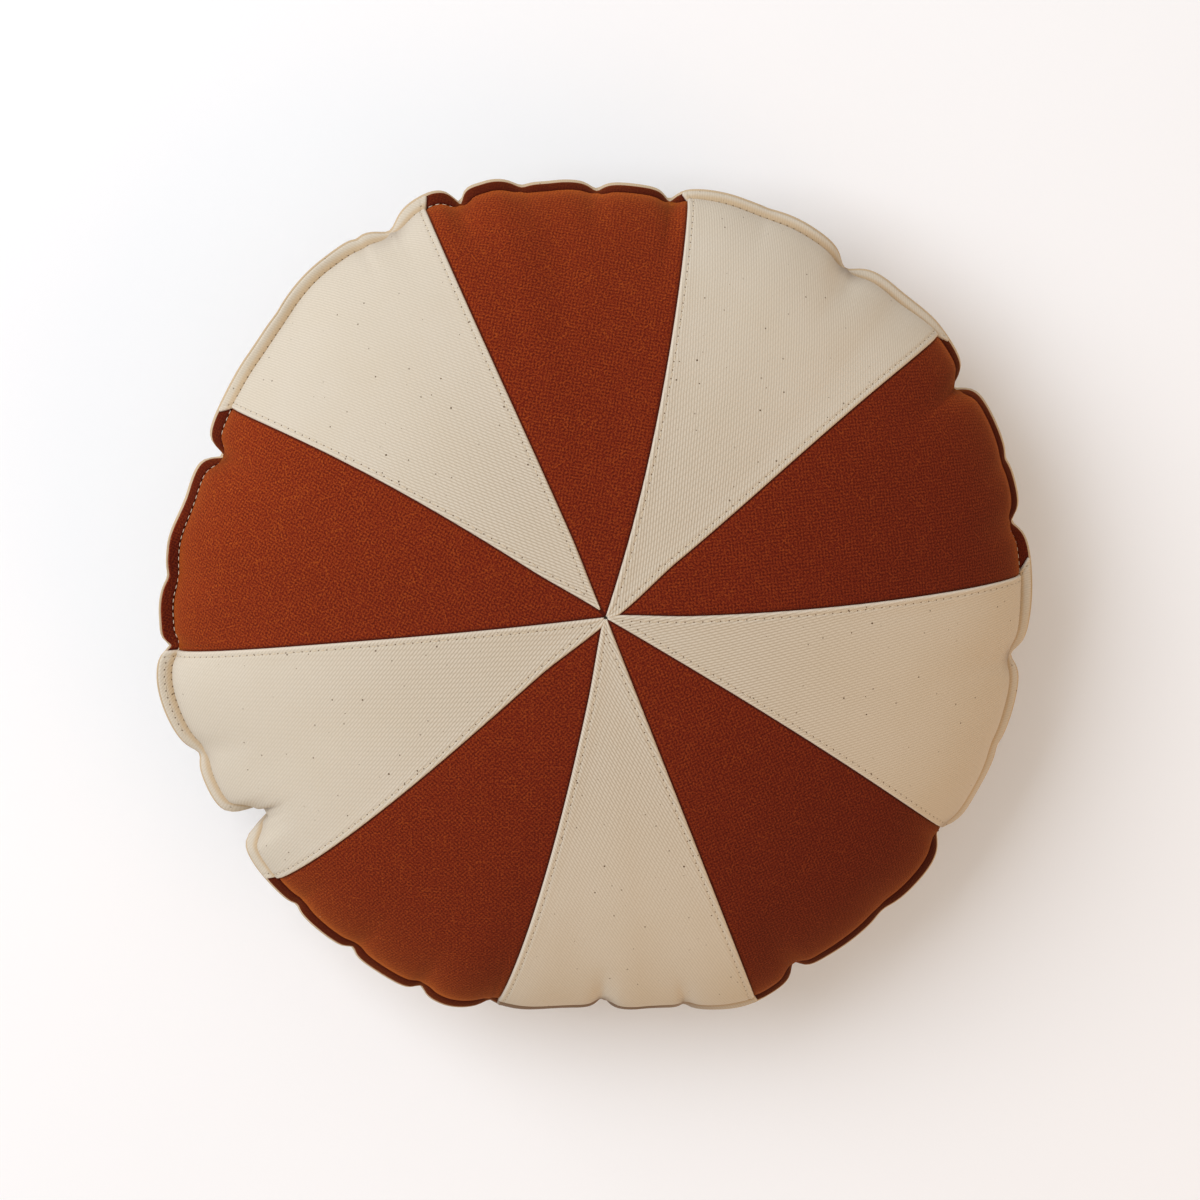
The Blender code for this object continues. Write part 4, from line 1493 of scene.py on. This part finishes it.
class CUSHION_OT_rim_stitches(bpy.types.Operator):
    """Sews the row that holds the front to the back at the foot of the flange"""

    bl_idname = "cushion.rim_stitches"
    bl_label = "Rim stitches"

    def execute(self, context):
        sizes = context.scene.cushion_sizes
        line = rim_line()
        row = stitch_places(line, rim_run(line[0]), sizes.cloth_thickness / 2.0, sizes.rim_stitch_pitch)
        thread_piece("rim_stitches", [row])
        return {"FINISHED"}


class CUSHION_OT_closing_stitches(bpy.types.Operator):
    """Sews the short row that closed the opening for the filling"""

    bl_idname = "cushion.closing_stitches"
    bl_label = "Closing stitches"

    def execute(self, context):
        sizes = context.scene.cushion_sizes
        line = closing_line()
        loft = SEAM_ALLOWANCE_PROUD + sizes.cloth_thickness / 2.0
        row = stitch_places(line, np.full_like(line[0], CLOSING_RUN), loft, sizes.rim_stitch_pitch)
        thread_piece("closing_stitches", [row])
        return {"FINISHED"}


# How much of the cushion's plane the picture shows, the camera's sensor in millimetres, what it looks at
# and how far it leans from straight above
FRAME_WIDTH = 0.552
SENSOR = 36.0
TARGET = Vector((0.0014, -0.0014, 0.060))
TILT_UP = math.radians(7.2)
TILT_LEFT = math.radians(3.1)


def soft_light(name, place, size, power, colour):
    """A large square light that faces the cushion."""
    data = bpy.data.lights.new(name, "AREA")
    data.shape = "SQUARE"
    data.size = size
    data.energy = power
    data.color = colour
    made = bpy.data.objects.new(name, data)
    made.location = place
    made.rotation_euler = (TARGET - Vector(place)).to_track_quat("-Z", "Y").to_euler()
    bpy.context.scene.collection.objects.link(made)


class CUSHION_OT_stage(bpy.types.Operator):
    """Sets the floor, the soft lights and the camera above the cushion's face"""

    bl_idname = "cushion.stage"
    bl_label = "Stage, lights and camera"

    def execute(self, context):
        scene = context.scene
        mesh = grid_mesh("studio_floor", 1, 1)
        floor = new_object("studio_floor", mesh)
        mesh.transform(Matrix.Scale(8.0, 4))
        mesh.materials.append(bpy.data.materials["pale_studio_floor"])

        world = bpy.data.worlds.new("pale_room")
        world.use_nodes = True
        back = world.node_tree.nodes["Background"]
        back.inputs["Color"].default_value = opaque(linear("#FAF1E4"))
        back.inputs["Strength"].default_value = 0.62
        scene.world = world
        soft_light("key_light", (-1.9, 1.1, 2.2), 2.4, 76.0, linear("#F6FAFF"))
        soft_light("fill_light", (1.9, -1.4, 1.3), 1.8, 13.0, linear("#FFB468"))

        data = bpy.data.cameras.new("camera")
        data.sensor_width = SENSOR
        distance = scene.cushion_sizes.camera_distance
        data.lens = SENSOR * distance / FRAME_WIDTH
        camera = bpy.data.objects.new("camera", data)
        back_way = Vector((-math.sin(TILT_LEFT), math.sin(TILT_UP), 1.0))
        back_way.z = math.sqrt(1.0 - back_way.x ** 2 - back_way.y ** 2)
        right = Vector((0.0, 1.0, 0.0)).cross(back_way).normalized()
        up = back_way.cross(right)
        pose = Matrix((right, up, back_way)).transposed().to_4x4()
        pose.translation = TARGET + back_way * distance
        camera.matrix_world = pose
        scene.collection.objects.link(camera)
        scene.camera = camera
        scene.view_settings.view_transform = "Standard"
        return {"FINISHED"}


OPERATORS = (
    CUSHION_OT_cloths,
    CUSHION_OT_filled_form,
    CUSHION_OT_rust_panels,
    CUSHION_OT_cream_panels,
    CUSHION_OT_topstitching,
    CUSHION_OT_rim_stitches,
    CUSHION_OT_closing_stitches,
    CUSHION_OT_stage,
)


class CUSHION_PT_panel(bpy.types.Panel):
    """Lists the cushion's sizes, colours and steps"""

    bl_idname = "CUSHION_PT_panel"
    bl_label = "Round patchwork cushion"
    bl_space_type = "VIEW_3D"
    bl_region_type = "UI"
    bl_category = "Cushion"

    def draw(self, context):
        for group in (context.scene.cushion_sizes, context.scene.cushion_colours):
            box = self.layout.box()
            for name in group.__annotations__:
                box.prop(group, name)
        for operator in OPERATORS:
            self.layout.operator(operator.bl_idname)


CLASSES = (CushionSizes, CushionColours, *OPERATORS, CUSHION_PT_panel)


def register():
    for each in CLASSES:
        bpy.utils.register_class(each)
    bpy.types.Scene.cushion_sizes = PointerProperty(type=CushionSizes)
    bpy.types.Scene.cushion_colours = PointerProperty(type=CushionColours)


def unregister():
    del bpy.types.Scene.cushion_colours
    del bpy.types.Scene.cushion_sizes
    for each in reversed(CLASSES):
        bpy.utils.unregister_class(each)


def main():
    register()
    bpy.ops.cushion.cloths()
    bpy.ops.cushion.filled_form()
    bpy.ops.cushion.rust_panels()
    bpy.ops.cushion.cream_panels()
    bpy.ops.cushion.topstitching()
    bpy.ops.cushion.rim_stitches()
    bpy.ops.cushion.closing_stitches()
    bpy.ops.cushion.stage()
    bpy.context.view_layer.update()


if __name__ == "__main__":
    main()
